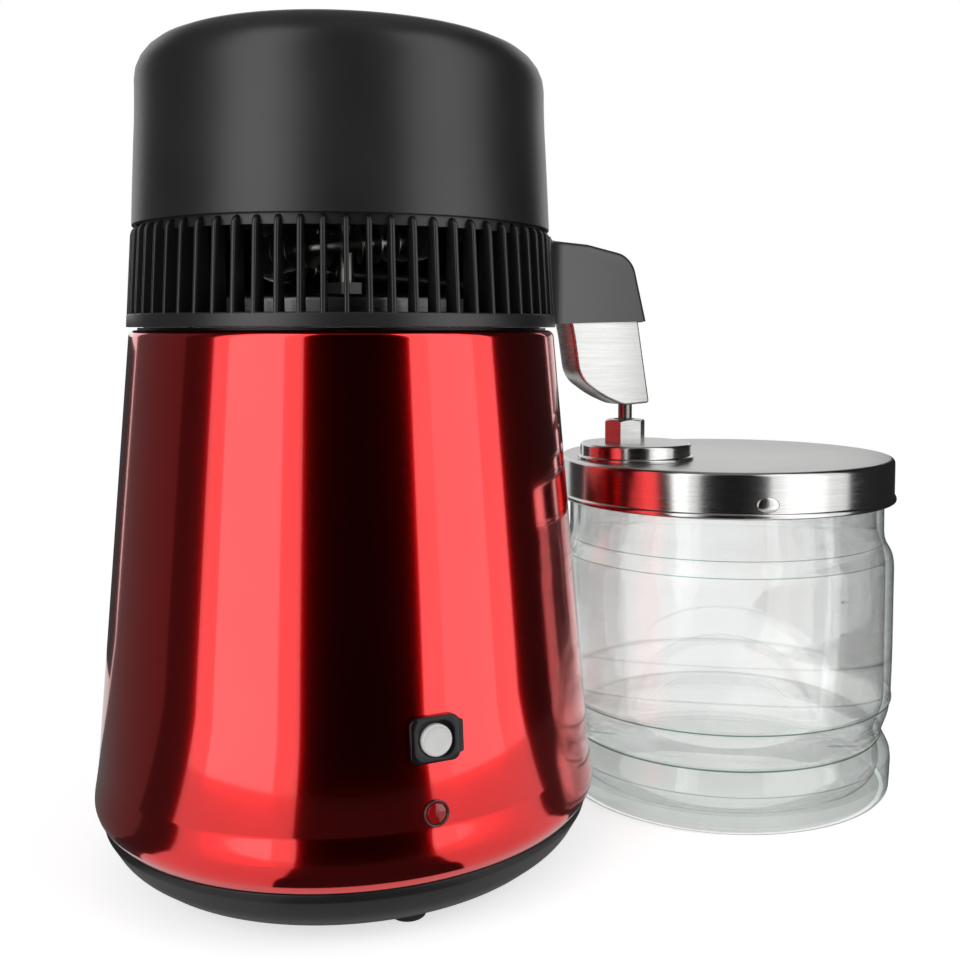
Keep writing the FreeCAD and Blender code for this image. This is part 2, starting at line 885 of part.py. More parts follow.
def make_steam_lid():
    gasket = turned_body(
        "gasket",
        [
            (g.gasket_inner_radius, tank_top),
            (g.gasket_outer_radius, tank_top),
            (g.gasket_outer_radius, gasket_top),
            (g.gasket_inner_radius, gasket_top),
        ],
    )
    keep(gasket, "tank_gasket", boiler_x)
    wall = g.steam_lid_wall
    step = g.steam_lid_step_radius
    bore = g.tube_radius + g.screw_gap
    lid = turned_body(
        "steam_cover",
        [
            (bore, steam_lid_top - wall),
            (step - wall, steam_lid_top - wall),
            (step - wall, gasket_top),
            (g.steam_lid_radius, gasket_top),
            (g.steam_lid_radius, steam_flange_top),
            (step, steam_flange_top),
            (step, steam_lid_top),
            (bore, steam_lid_top),
        ],
    )
    round_edges(lid, [(step, steam_lid_top)], g.steam_lid_round)
    round_edges(lid, [(step - wall, steam_lid_top - wall)], g.steam_lid_round - wall)
    keep(lid, "steam_lid", boiler_x)
    nut = prism("union", g.riser_nut_flats, g.riser_nut_height, z=steam_lid_top)
    hole = cylinder("union_hole", bore, g.riser_nut_height, z=steam_lid_top)
    keep(cut("union_bored", nut, [hole]), "riser_nut", boiler_x)


def make_louvre_ring():
    inner = g.collar_radius - g.collar_wall
    collar = turned_body(
        "collar",
        [
            (inner, collar_bottom),
            (g.collar_radius, collar_bottom),
            (g.collar_top_radius, collar_top),
            (g.ring_flange_radius, collar_top),
            (g.ring_flange_radius, steam_flange_top),
            (inner, steam_flange_top),
        ],
    )
    add_ribs(collar)
    place(collar, angle=g.rib_phase)
    top_bottom = rib_top - g.top_ring_drop
    top_ring = turned_body(
        "top_ring",
        [
            (g.top_ring_radius - g.top_ring_wall, top_bottom),
            (g.top_ring_radius, top_bottom),
            (g.top_ring_radius, top_bottom + g.top_ring_height),
            (g.top_ring_radius - g.top_ring_wall, top_bottom + g.top_ring_height),
        ],
    )
    openings = [spout_window()] + post_holes("ring_hole", steam_flange_top, g.collar_height)
    ring = cut("ring_open", fuse("ring", [collar, top_ring]), openings)
    keep(fuse("ring_with_spout", [ring, make_rear_guard(), make_spout_hood()]), "louvre_ring", boiler_x)


def add_ribs(body):
    """Upright blades round the collar, each leaning in and rounded off towards its top."""
    outer_top = g.collar_top_radius - g.rib_lean
    inner = g.collar_top_radius - g.rib_depth
    sketch = outline_sketch(
        body,
        "XZ_Plane",
        [
            (inner, collar_top - g.rib_foot),
            (g.collar_top_radius, collar_top - g.rib_foot),
            (outer_top, rib_top - g.rib_crown),
            (outer_top - g.rib_crown / 3.0, rib_top - g.rib_crown / 3.0),
            (outer_top - g.rib_crown, rib_top),
            (inner, rib_top),
        ],
    )
    rib = body.newObject("PartDesign::Pad", "rib_pad")
    rib.Profile = sketch
    rib.SideType = "Symmetric"
    bind(rib, "Length", g.rib_thickness)
    body.Tip = rib
    doc.recompute()
    ring = body.newObject("PartDesign::PolarPattern", "rib_ring")
    ring.Originals = [rib]
    axis = next(f for f in body.Origin.OriginFeatures if f.Role == "Z_Axis")
    ring.Axis = (axis, [""])
    ring.Angle = 360.0
    bind(ring, "Occurrences", g.rib_count)
    body.Tip = ring
    doc.recompute()


def make_rear_guard():
    """A curved wall inside the ribs at the back, so that no light shows through the ring."""
    height = rib_top - steam_flange_top
    outer = g.ring_flange_radius + g.guard_wall
    wall = cylinder("guard", outer, height, z=steam_flange_top, angle=g.guard_first_angle)
    bind(wall, "Angle", g.guard_sweep)
    hollow = cylinder("guard_hollow", g.ring_flange_radius, height, z=steam_flange_top)
    return cut("rear_guard", wall, [hollow])


def spout_window():
    """The gap in the ribs that lets the outlet tube out into the spout."""
    height = rib_top - g.top_ring_drop - collar_top
    reach = g.collar_radius - g.ring_flange_radius
    return centred_box(
        "spout_window", reach * 2.0, g.spout_window_width, height, x=g.collar_radius, z=collar_top
    )


def post_spots(z):
    return [on_ring(g.post_circle, degrees, z) for degrees in around(4, SIZES["post_first_angle"])]


def post_holes(name, z, depth):
    """Clearance holes for the four posts, through a plate of a given depth."""
    radius = g.post_radius + g.screw_gap
    return [cylinder(f"{name}_{index}", radius, depth, **spot) for index, spot in enumerate(post_spots(z))]


def make_head_posts():
    """Studs that stand on the steam lid, with nuts on the ring and on both sides of the bracket."""
    length = bracket_top + g.post_nut_height + g.post_radius - steam_flange_top
    posts = [
        cylinder(f"post_{index}", g.post_radius, length, **spot)
        for index, spot in enumerate(post_spots(steam_flange_top))
    ]
    keep(group("posts", posts), "head_posts", boiler_x)
    keep(group("ring_nut_set", nuts_at("ring_nut", collar_top)), "ring_nuts", boiler_x)
    under = nuts_at("under_nut", bracket_bottom - g.post_nut_height)
    keep(group("post_nut_set", under + nuts_at("top_nut", bracket_top)), "bracket_nuts", boiler_x)


def nuts_at(name, z):
    nuts = []
    holes = post_holes(name + "_hole", z, g.post_nut_height)
    for index, spot in enumerate(post_spots(z)):
        nut = prism(f"{name}_{index}", g.post_nut_flats, g.post_nut_height, **spot)
        nuts.append(cut(f"{name}_bored_{index}", nut, [holes[index]]))
    return nuts


def make_top_cap():
    inner_bottom = g.cap_radius - g.cap_wall
    inner_shoulder = g.cap_shoulder_radius - g.cap_wall
    crown_radius = g.cap_shoulder_radius / 2.0
    cap = turned_body(
        "dome",
        [
            (inner_bottom, cap_bottom),
            (g.cap_radius, cap_bottom),
            (g.cap_shoulder_radius, cap_shoulder - g.cap_round),
            (g.cap_shoulder_radius, cap_shoulder),
            (crown_radius, cap_shoulder + g.cap_crown),
            (0.0, cap_shoulder + g.cap_crown),
            (0.0, cap_shoulder + g.cap_crown - g.cap_wall),
            (crown_radius, cap_shoulder + g.cap_crown - g.cap_wall),
            (inner_shoulder, cap_shoulder - g.cap_wall),
            (inner_shoulder, cap_shoulder - g.cap_round),
        ],
    )
    round_edges(cap, [(g.cap_shoulder_radius, cap_shoulder)], g.cap_round - g.seat_gap)
    round_edges(cap, [(inner_shoulder, cap_shoulder - g.cap_wall)], g.cap_round - g.cap_wall - g.seat_gap)
    lugs = [cap_lug(index, degrees) for index, degrees in enumerate(around(4))]
    drills = upward_drills("cap_drill", "cap", bracket_top)
    keep(cut("dome_drilled", fuse("dome_with_lugs", [cap] + lugs), drills), "top_cap", boiler_x)


def cap_lug(index, degrees):
    """A block inside the cap that an arm of the bracket is screwed to."""
    outer = g.cap_shoulder_radius - g.cap_wall / 2.0
    length = g.cap_lug_reach
    turn = math.radians(degrees)
    along = outer - length
    half = g.cap_lug_width / 2.0
    return box(
        f"lug_{index}",
        length,
        g.cap_lug_width,
        g.cap_lug_height,
        x=along * round(math.cos(turn), 6) + half * round(math.sin(turn), 6),
        y=along * round(math.sin(turn), 6) - half * round(math.cos(turn), 6),
        z=bracket_top,
        angle=degrees,
    )


def small_screw(kind):
    """The circle, radius and depth of the cap's screws or the motor's."""
    if kind == "cap":
        return g.cap_screw_circle, g.cap_screw_radius, g.cap_screw_depth
    return g.motor_screw_circle, g.motor_screw_radius, g.motor_screw_depth


def upward_drills(name, kind, z):
    """Four blind holes up from a height, a little deeper than the screws that go into them."""
    circle, radius, depth = small_screw(kind)
    bore = radius + g.screw_gap
    return [
        cylinder(f"{name}_{index}", bore, depth + g.slide_gap, **on_ring(circle, degrees, z))
        for index, degrees in enumerate(around(4))
    ]


def make_upward_screws(kind):
    """Four screws driven up through the bracket, with their heads under it."""
    circle, radius, depth = small_screw(kind)
    screws = []
    for index, degrees in enumerate(around(4)):
        shank_spot = on_ring(circle, degrees, bracket_bottom)
        shank = cylinder(f"{kind}_shank_{index}", radius, depth + g.bracket_thickness, **shank_spot)
        head_spot = on_ring(circle, degrees, bracket_bottom - g.small_head_height)
        head = cylinder(f"{kind}_head_{index}", g.small_head_radius, g.small_head_height, **head_spot)
        screws.append(fuse(f"{kind}_screw_{index}", [shank, head]))
    keep(group(f"{kind}_screw_set", screws), f"{kind}_screws", boiler_x)


# ---- head: fan ----


def make_bracket():
    """Two crossed straps for the motor, and a ring that joins them to the posts."""
    reach = g.cap_shoulder_radius - g.cap_wall * 2.0
    width = g.bracket_width
    thickness = g.bracket_thickness
    rim = cylinder("rim", g.post_circle + g.bracket_ring_width / 2.0, thickness, z=bracket_bottom)
    rim_hole = cylinder("rim_hole", g.post_circle - g.bracket_ring_width / 2.0, thickness, z=bracket_bottom)
    straps = [
        centred_box("strap_x", reach * 2.0, width, thickness, z=bracket_bottom),
        centred_box("strap_y", width, reach * 2.0, thickness, z=bracket_bottom),
        cut("rim_open", rim, [rim_hole]),
    ]
    drills = [cylinder("bracket_hole", g.bracket_hole, thickness, z=bracket_bottom)]
    drills += post_holes("bracket_drill", bracket_bottom, thickness)
    drills += upward_drills("bracket_cap_drill", "cap", bracket_bottom)
    drills += upward_drills("bracket_motor_drill", "motor", bracket_bottom)
    keep(cut("straps_drilled", fuse("straps", straps), drills), "motor_bracket", boiler_x)
    make_upward_screws("cap")
    make_upward_screws("motor")


def make_motor():
    top = bracket_top + g.motor_height
    can = turned_body(
        "motor",
        [
            (g.shaft_radius + g.shaft_gap, bracket_top),
            (g.motor_radius, bracket_top),
            (g.motor_radius, top),
            (g.shaft_radius + g.shaft_gap, top),
        ],
    )
    round_edges(can, [(g.motor_radius, top)], g.motor_round)
    drills = upward_drills("motor_drill", "motor", bracket_top)
    keep(cut("motor_drilled", can, drills), "fan_motor", boiler_x)


def make_fan():
    hub = cylinder("hub", g.fan_hub_radius, g.fan_hub_height, z=fan_bottom)
    angles = around(int(SIZES["fan_blade_count"]))
    blades = [fan_blade(index, degrees) for index, degrees in enumerate(angles)]
    bore = cylinder("hub_bore", g.shaft_radius, g.fan_hub_height, z=fan_bottom)
    keep(cut("fan_bored", fuse("fan", [hub] + blades), [bore]), "fan_blades", boiler_x)
    shaft_bottom = fan_bottom - g.shaft_clip_height
    shaft_length = bracket_top + g.motor_height - shaft_bottom
    shaft = cylinder("shaft", g.shaft_radius, shaft_length, z=shaft_bottom)
    keep(group("shaft_solid", [shaft]), "motor_shaft", boiler_x)
    clip = cylinder("clip", g.shaft_clip_radius, g.shaft_clip_height, z=shaft_bottom)
    clip_hole = cylinder("clip_hole", g.shaft_radius, g.shaft_clip_height, z=shaft_bottom)
    keep(cut("clip_open", clip, [clip_hole]), "fan_clip", boiler_x)


def fan_blade(index, degrees):
    """A flat blade, pitched about its own length and turned round the hub."""
    start = g.fan_hub_radius - g.fan_blade_sink
    blade = box(f"blade_{index}", g.fan_radius - start, g.fan_chord, g.fan_blade_thickness)
    pitch = FreeCAD.Rotation(FreeCAD.Vector(1, 0, 0), SIZES["fan_blade_pitch"])
    turn = FreeCAD.Rotation(FreeCAD.Vector(0, 0, 1), degrees)
    centre = FreeCAD.Vector(0, 0, number(fan_bottom + g.fan_hub_height / 2.0))
    corner = FreeCAD.Vector(number(start), -number(g.fan_chord) / 2.0, -number(g.fan_blade_thickness) / 2.0)
    blade.Placement = FreeCAD.Placement(centre, turn) * FreeCAD.Placement(pitch.multVec(corner), pitch)
    return blade


# ---- head: condenser coil ----


def coil_start():
    """The angle at which a straight run from inside the spout's window meets the coil as a tangent."""
    return math.acos(SIZES["coil_radius"] / SIZES["tube_turn_reach"])


def coil_point(turns):
    """A point of the coil's centre line, counted in turns up from its lower end."""
    angle = 2.0 * math.pi * turns + coil_start()
    radius = SIZES["coil_radius"]
    height = number(coil_bottom) + SIZES["coil_pitch"] * turns
    return FreeCAD.Vector(radius * math.cos(angle), radius * math.sin(angle), height)


def coil_direction(turns):
    step = 0.001
    return (coil_point(turns + step) - coil_point(turns - step)).normalize()


def rounded_wire(corners, radius):
    """Straight runs between corners, with an arc of a radius at each inner corner."""
    edges = []
    last = corners[0]
    for before, corner, after in zip(corners, corners[1:], corners[2:]):
        back = (before - corner).normalize()
        ahead = (after - corner).normalize()
        half = back.getAngle(ahead) / 2.0
        start = corner + back * (radius / math.tan(half))
        end = corner + ahead * (radius / math.tan(half))
        middle = corner + (back + ahead).normalize() * (radius / math.sin(half) - radius)
        edges += [Part.LineSegment(last, start).toShape(), Part.Arc(start, middle, end).toShape()]
        last = end
    edges.append(Part.LineSegment(last, corners[-1]).toShape())
    return Part.Wire(edges)


def outlet_wire():
    """The tube's centre line from its open end, up the spout and in to the coil."""
    start = coil_point(0.0)
    way = coil_direction(0.0)
    run = math.sqrt(SIZES["tube_turn_reach"] ** 2 - SIZES["coil_radius"] ** 2)
    turn = start - way * (run / math.hypot(way.x, way.y))
    outlet = FreeCAD.Vector(SIZES["outlet_reach"], 0, number(outlet_bottom))
    knee = outlet + FreeCAD.Vector(0, 0, SIZES["outlet_drop"])
    elbow = FreeCAD.Vector(SIZES["outlet_elbow_reach"], 0, turn.z)
    return rounded_wire([outlet, knee, elbow, turn, start], SIZES["tube_bend"])


def riser_wire():
    """The centre line from the coil's upper end, over to the middle and down to the steam lid."""
    start = coil_point(SIZES["coil_turns"])
    swing = start + coil_direction(SIZES["coil_turns"]) * SIZES["riser_swing"]
    over = FreeCAD.Vector(0, 0, swing.z)
    foot = FreeCAD.Vector(0, 0, number(steam_lid_top) - SIZES["steam_lid_wall"])
    return rounded_wire([start, swing, over, foot], SIZES["riser_bend"])


def coil_wire():
    """The turns themselves, as a helix turned to start at the spout's side."""
    height = SIZES["coil_pitch"] * SIZES["coil_turns"]
    taper = 0.0
    helix = Part.makeLongHelix(SIZES["coil_pitch"], height, SIZES["coil_radius"], taper)
    helix.rotate(FreeCAD.Vector(0, 0, 0), FreeCAD.Vector(0, 0, 1), math.degrees(coil_start()))
    helix.translate(FreeCAD.Vector(0, 0, number(coil_bottom)))
    return helix


def swept(wire, radius, start, way, frenet):
    ring = Part.Wire([Part.makeCircle(radius, start, way)])
    return wire.makePipeShell([ring], True, frenet)


def tube_solid():
    """The outlet's run, the turns and the riser, joined, and bored at the open end only."""
    up = FreeCAD.Vector(0, 0, 1)
    outlet = FreeCAD.Vector(SIZES["outlet_reach"], 0, number(outlet_bottom))
    radius = SIZES["tube_radius"]
    turns = SIZES["coil_turns"]
    run = swept(outlet_wire(), radius, outlet, up, False)
    coil = swept(coil_wire(), radius, coil_point(0.0), coil_direction(0.0), True)
    riser = swept(riser_wire(), radius, coil_point(turns), coil_direction(turns), False)
    bore = Part.makeCylinder(SIZES["tube_bore"], SIZES["tube_bore_depth"], outlet, up)
    return run.fuse([coil, riser]).cut(bore)


def make_coil():
    coil = doc.addObject("Part::Feature", "coil")
    coil.Shape = tube_solid()
    keep(coil, "condenser_coil", boiler_x)
    fins = doc.addObject("Part::Feature", "fins")
    count = round(SIZES["coil_turns"] * SIZES["fins_per_turn"])
    spots = [SIZES["coil_turns"] * (step + 0.5) / count for step in range(count)]
    fins.Shape = Part.makeCompound([fin_solid(turns) for turns in spots])
    keep(fins, "coil_fins", boiler_x)


def fin_solid(turns):
    way = coil_direction(turns)
    start = coil_point(turns) - way * (SIZES["fin_thickness"] / 2.0)
    disc = Part.makeCylinder(SIZES["fin_radius"], SIZES["fin_thickness"], start, way)
    hole = Part.makeCylinder(SIZES["tube_radius"] + SIZES["fin_gap"], SIZES["fin_thickness"], start, way)
    return disc.cut(hole)


# ---- head: spout ----


def make_spout_hood():
    """A black hood, open below and towards the ribs, with hollow blends into the ring."""
    outer = hood_block("hood", 0.0)
    inner = hood_block("hood_void", g.spout_wall)
    return cut("hood_open", outer, [inner])


def hood_block(name, inset):
    """The hood's outside, or with an inset its inside, which runs out below and at the root."""
    low = spout_bottom - inset
    root = g.spout_root - inset * 2.0
    nose_x = g.spout_reach - g.spout_lean - inset
    nose_z = rib_top - g.spout_nose_drop - inset
    side = plate_body(
        name + "_side",
        [
            (root, low),
            (g.spout_reach - inset, low + g.spout_tilt),
            (nose_x, nose_z),
            (g.spout_brow_reach, rib_top - g.spout_brow_drop - inset),
            (root, rib_top - inset),
        ],
        g.spout_width * 3.0,
    )
    round_edges(side, [(nose_x, nose_z)], g.spout_nose_round - inset, flat=True)
    half = g.spout_width / 2.0 - inset
    if inset == 0.0:
        return common(name, side, hood_plan(name, half))
    plan = plate_body(
        name + "_plan",
        [(root, -half), (g.spout_reach * 2.0, -half), (g.spout_reach * 2.0, half), (root, half)],
        beyond,
        role="XY_Plane",
    )
    return common(name, side, plan)


def hood_plan(name, half):
    """The hood seen from above: straight sides that flare out where they meet the ring."""
    flare = g.spout_flare
    wide = half + flare
    outward = g.collar_top_radius + flare - g.rib_lean
    corner_x = square_root(outward * outward - wide * wide)
    plan = plate_body(
        name + "_plan",
        [
            (g.spout_root, -wide),
            (corner_x, -wide),
            (corner_x, -half),
            (g.spout_reach * 2.0, -half),
            (g.spout_reach * 2.0, half),
            (corner_x, half),
            (corner_x, wide),
            (g.spout_root, wide),
        ],
        beyond,
        role="XY_Plane",
    )
    blends = [
        cylinder(f"{name}_blend_{side + 1}", flare, beyond, x=corner_x, y=wide * side)
        for side in (-1, 1)
    ]
    return cut(name + "_plan_cut", plan, blends)


def make_scoop():
    """A folded steel duct with its top end up inside the hood and a hole for the tube in its sole."""
    top = spout_bottom + g.scoop_grip
    low = nozzle_top + g.scoop_gap
    outer = scoop_block("scoop", 0.0, top, low)
    inner = scoop_block("scoop_void", g.scoop_wall, top + g.scoop_wall * 2.0, low)
    hole_radius = g.tube_radius + g.slide_gap
    hole = cylinder("scoop_hole", hole_radius, top - low, x=g.outlet_reach, z=low - g.scoop_wall)
    keep(cut("scoop_open", outer, [inner, hole]), "spout_scoop", boiler_x)


def scoop_block(name, inset, top, low):
    drop = spout_bottom - low
    heel = (g.scoop_heel_reach, low + inset)
    knee = (g.scoop_knee_reach + inset, low + drop * g.scoop_knee_share + inset)
    block = plate_body(
        name,
        [
            (g.scoop_neck_reach + inset, top),
            (g.scoop_throat_reach + inset, low + drop * g.scoop_throat_share),
            knee,
            (g.scoop_sole_reach + inset, low + drop * g.scoop_sole_share + inset),
            heel,
            (g.scoop_tip_reach - inset, low + drop * g.scoop_tip_share + inset),
            (g.scoop_top_reach - inset, top),
        ],
        g.scoop_width - inset * 2.0,
    )
    round_edges(block, [knee], g.scoop_knee_round - inset, flat=True)
    return block


# ---- jar ----


def make_glass_jar():
    wall = g.jar_wall
    neck_z = g.jar_height - g.jar_neck_height
    shoulder_z = neck_z - g.jar_shoulder_height + g.jar_shoulder_round
    waist_low = g.jar_waist_height - g.jar_waist_land
    waist_high = g.jar_waist_height + g.jar_waist_land
    inside = g.jar_radius - wall
    jar = turned_body(
        "glass",
        [
            (0.0, 0.0),
            (g.jar_radius, 0.0),
            (g.jar_radius, waist_low - g.jar_waist_spread),
            (g.jar_waist_radius, waist_low),
            (g.jar_waist_radius, waist_high),
            (g.jar_radius, waist_high + g.jar_waist_spread),
            (g.jar_radius, shoulder_z),
            (g.jar_neck_radius, neck_z),
            (g.jar_neck_radius, g.jar_height),
            (g.jar_neck_radius - wall, g.jar_height),
            (g.jar_neck_radius - wall, neck_z),
            (inside, shoulder_z),
            (inside, waist_high + g.jar_waist_spread),
            (g.jar_waist_radius - wall, waist_high),
            (g.jar_waist_radius - wall, waist_low),
            (inside - wall, g.jar_floor),
            (0.0, g.jar_floor),
        ],
    )
    round_edges(jar, [(g.jar_radius, 0.0)], g.jar_foot_round)
    round_edges(jar, [(g.jar_radius, shoulder_z), (g.jar_neck_radius, neck_z)], g.jar_shoulder_round)
    keep(jar, "glass_jar", jar_x)


def make_jar_lid():
    seal = turned_body(
        "seal",
        [
            (g.seal_inner_radius, g.jar_height),
            (g.seal_outer_radius, g.jar_height),
            (g.seal_outer_radius, g.jar_height + g.seal_height),
            (g.seal_inner_radius, g.jar_height + g.seal_height),
        ],
    )
    keep(seal, "lid_seal", jar_x)
    skirt_bottom = lid_top - g.lid_skirt
    wall = g.lid_wall
    lid = turned_body(
        "cover",
        [
            (0.0, lid_top - wall),
            (g.lid_radius - wall, lid_top - wall),
            (g.lid_radius - wall, skirt_bottom),
            (g.bead_radius, skirt_bottom),
            (g.bead_radius, skirt_bottom + g.bead_height),
            (g.lid_radius, skirt_bottom + g.bead_height),
            (g.lid_radius, lid_top),
            (0.0, lid_top),
        ],
    )
    round_edges(lid, [(g.lid_radius, lid_top)], g.lid_round)
    round_edges(lid, [(g.lid_radius - wall, lid_top - wall)], g.lid_round - wall)
    hole_radius = g.basket_radius + g.slide_gap
    hole = cylinder("lid_hole", hole_radius, wall, x=filter_offset, z=lid_top - wall)
    keep(cut("cover_open", lid, [hole]), "jar_lid", jar_x)


# where the filter and the nozzle stand, from the jar's axis and from the middle of the set
filter_offset = g.filter_reach - g.axis_distance
filter_x = jar_x + filter_offset
nozzle_x = boiler_x + g.outlet_reach


def make_filter():
    wall = g.basket_wall
    rim_top = lid_top + wall
    basket = turned_body(
        "basket",
        [
            (0.0, rim_top - g.basket_depth),
            (g.basket_radius, rim_top - g.basket_depth),
            (g.basket_radius, lid_top),
            (g.basket_flange_radius, lid_top),
            (g.basket_flange_radius, rim_top),
            (g.basket_radius - wall, rim_top),
            (g.basket_radius - wall, rim_top - g.basket_depth + wall),
            (0.0, rim_top - g.basket_depth + wall),
        ],
    )
    keep(basket, "filter_basket", filter_x)
    sachet_radius = g.basket_radius - wall - g.slide_gap
    sachet = cylinder("sachet", sachet_radius, g.sachet_height, z=rim_top - g.basket_depth + wall)
    keep(group("sachet_solid", [sachet]), "charcoal_sachet", filter_x)


def make_filter_cap():
    inside = g.basket_flange_radius + g.slide_gap
    roof = filter_cap_top - g.filter_cap_wall
    cap = turned_body(
        "filter_top",
        [
            (0.0, roof),
            (inside, roof),
            (inside, lid_top),
            (g.filter_flange_radius, lid_top),
            (g.filter_flange_radius, lid_top + g.filter_flange_height),
            (g.filter_cap_radius, lid_top + g.filter_flange_height),
            (g.filter_cap_radius, filter_cap_top),
            (0.0, filter_cap_top),
        ],
    )
    round_edges(cap, [(g.filter_cap_radius, filter_cap_top)], g.filter_cap_round)
    stud_hole = cylinder(
        "stud_hole",
        g.nozzle_stud_radius + g.screw_gap,
        g.filter_cap_wall,
        x=nozzle_x - filter_x,
        z=roof,
    )
    keep(cut("filter_top_open", cap, [stud_hole]), "filter_cap", filter_x)


def make_nozzle():
    """A hexagonal funnel block whose stud goes down through the filter cap to a flat nut."""
    hexagon = prism("nozzle_block", g.nozzle_flats, g.nozzle_height, z=filter_cap_top, angle=g.nozzle_turn)
    stud_length = g.filter_cap_wall + g.nozzle_nut_height
    stud_bottom = filter_cap_top - stud_length
    stud = cylinder("nozzle_stud", g.nozzle_stud_radius, stud_length, z=stud_bottom)
    crown = doc.addObject("Part::Cone", "nozzle_crown")
    corner = g.nozzle_flats / math.sqrt(3.0)
    bind(crown, "Radius1", corner + g.nozzle_height - g.nozzle_chamfer)
    bind(crown, "Radius2", corner - g.nozzle_chamfer)
    bind(crown, "Height", g.nozzle_height)
    place(crown, z=filter_cap_top)
    head = common("nozzle_head", hexagon, crown)
    bore = cylinder("nozzle_bore", g.nozzle_bore, stud_length + g.nozzle_height, z=stud_bottom)
    keep(cut("nozzle_bored", fuse("nozzle", [head, stud]), [bore]), "outlet_nozzle", nozzle_x)
    nut = cylinder("nozzle_ring", g.nozzle_nut_radius, g.nozzle_nut_height, z=stud_bottom)
    hole_radius = g.nozzle_stud_radius + g.screw_gap
    hole = cylinder("nozzle_ring_hole", hole_radius, g.nozzle_nut_height, z=stud_bottom)
    keep(cut("nozzle_ring_open", nut, [hole]), "nozzle_nut", nozzle_x)


def check_states():
    for thing in doc.Objects:
        if "Invalid" in thing.State or "Error" in thing.State:
            raise RuntimeError(f"{thing.Name} did not build: {thing.State}")


def export_all():
    os.makedirs("parts", exist_ok=True)
    for thing in kept:
        shape = thing.Shape
        if shape.isNull() or not shape.isValid():
            raise RuntimeError(f"{thing.Label} is not a valid solid")
        shape.exportStep(f"parts/{thing.Label}.step")
        print(f"{thing.Label}: {len(shape.Solids)} solids, {shape.Volume / 1000.0:.1f} cm3")


make_rubber_feet()
make_base_pan()
make_tie_rods()
make_tie_screws()
make_outer_shell()
make_boiling_tank()
make_heater()
make_switch()
make_indicator()
make_mains_inlet()
make_steam_lid()
make_louvre_ring()
make_head_posts()
make_top_cap()
make_bracket()
make_motor()
make_fan()
make_coil()
make_scoop()
make_glass_jar()
make_jar_lid()
make_filter()
make_filter_cap()
make_nozzle()
doc.recompute()
check_states()
export_all()
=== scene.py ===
import math

import bmesh
import bpy
from mathutils import Matrix, Vector


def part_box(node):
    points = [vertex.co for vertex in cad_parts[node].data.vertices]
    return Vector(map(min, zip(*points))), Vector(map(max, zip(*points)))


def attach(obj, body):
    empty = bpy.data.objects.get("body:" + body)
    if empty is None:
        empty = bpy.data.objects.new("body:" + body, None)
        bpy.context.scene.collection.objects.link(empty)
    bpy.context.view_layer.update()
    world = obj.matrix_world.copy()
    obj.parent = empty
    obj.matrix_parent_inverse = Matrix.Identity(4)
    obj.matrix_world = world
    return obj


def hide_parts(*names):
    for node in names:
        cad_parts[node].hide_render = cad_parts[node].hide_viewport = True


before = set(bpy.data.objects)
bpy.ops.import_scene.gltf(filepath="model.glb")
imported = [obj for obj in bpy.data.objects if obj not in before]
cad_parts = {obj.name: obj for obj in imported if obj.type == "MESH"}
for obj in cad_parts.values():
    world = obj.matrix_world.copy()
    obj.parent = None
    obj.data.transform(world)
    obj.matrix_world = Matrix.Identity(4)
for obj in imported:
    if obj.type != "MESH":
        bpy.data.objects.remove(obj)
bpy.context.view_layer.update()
print("frame loaded with", len(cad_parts), "nodes")

mm = 0.001
weld = 0.002 * mm
noiseSpan = (0.3, 0.7)


def middleOf(node):
    low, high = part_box(node)
    return Vector(((low.x + high.x) / 2, (low.y + high.y) / 2, 0))


boilerAxis = middleOf("outer_shell")
jarAxis = middleOf("glass_jar")


def setInputs(owner, node, inputs):
    # an input takes a plain value or another node's output
    for socket, value in inputs.items():
        if isinstance(value, bpy.types.NodeSocket):
            owner.node_tree.links.new(value, node.inputs[socket])
        else:
            node.inputs[socket].default_value = value


def addNode(owner, kind, inputs=None, **settings):
    node = owner.node_tree.nodes.new(kind)
    for key, value in settings.items():
        setattr(node, key, value)
    setInputs(owner, node, inputs or {})
    return node


def newMaterial(name, bare=False):
    material = bpy.data.materials.new(name)
    material.use_nodes = True
    if bare:
        material.node_tree.nodes.remove(principled(material))
    return material


def principled(material):
    return material.node_tree.nodes["Principled BSDF"]


def setOutput(material, inputs):
    setInputs(material, material.node_tree.nodes["Material Output"], inputs)


def ownPlace(material):
    return addNode(material, "ShaderNodeTexCoord").outputs["Object"]


def surfaceNoise(material, grain, detail):
    # a noise in the piece's own space: grain is its size along x, y and z
    scale = [1.0 / (size * mm) for size in grain]
    stretch = addNode(material, "ShaderNodeMapping", {"Vector": ownPlace(material), "Scale": scale})
    noise = addNode(material, "ShaderNodeTexNoise", {
        "Vector": stretch.outputs["Vector"], "Scale": 1.0, "Detail": detail,
    })
    return noise.outputs["Fac"]


def spread(material, noise, low, high):
    # stretches a noise over a range of values
    reach = addNode(material, "ShaderNodeMapRange", {
        "Value": noise, "From Min": noiseSpan[0], "From Max": noiseSpan[1], "To Min": low, "To Max": high,
    })
    return reach.outputs["Result"]


def shade(material, factor, span, first, last):
    ramp = addNode(material, "ShaderNodeValToRGB", {"Fac": factor})
    for stop, place, colour in zip(ramp.color_ramp.elements, span, (first, last)):
        stop.position = place
        stop.color = (*colour, 1.0)
    return ramp.outputs["Color"]


def bumped(material, noise, strength, depth):
    bump = addNode(material, "ShaderNodeBump", {
        "Height": noise, "Strength": strength, "Distance": depth * mm,
    })
    return bump.outputs["Normal"]


plainFinish = {
    "metallic": 0.0, "specular": 0.5, "coat": 0.0, "coatRoughness": 0.03, "coatIor": 1.5, "patch": 25.0,
    "fineDetail": 3.0, "broadDetail": 2.0,
}


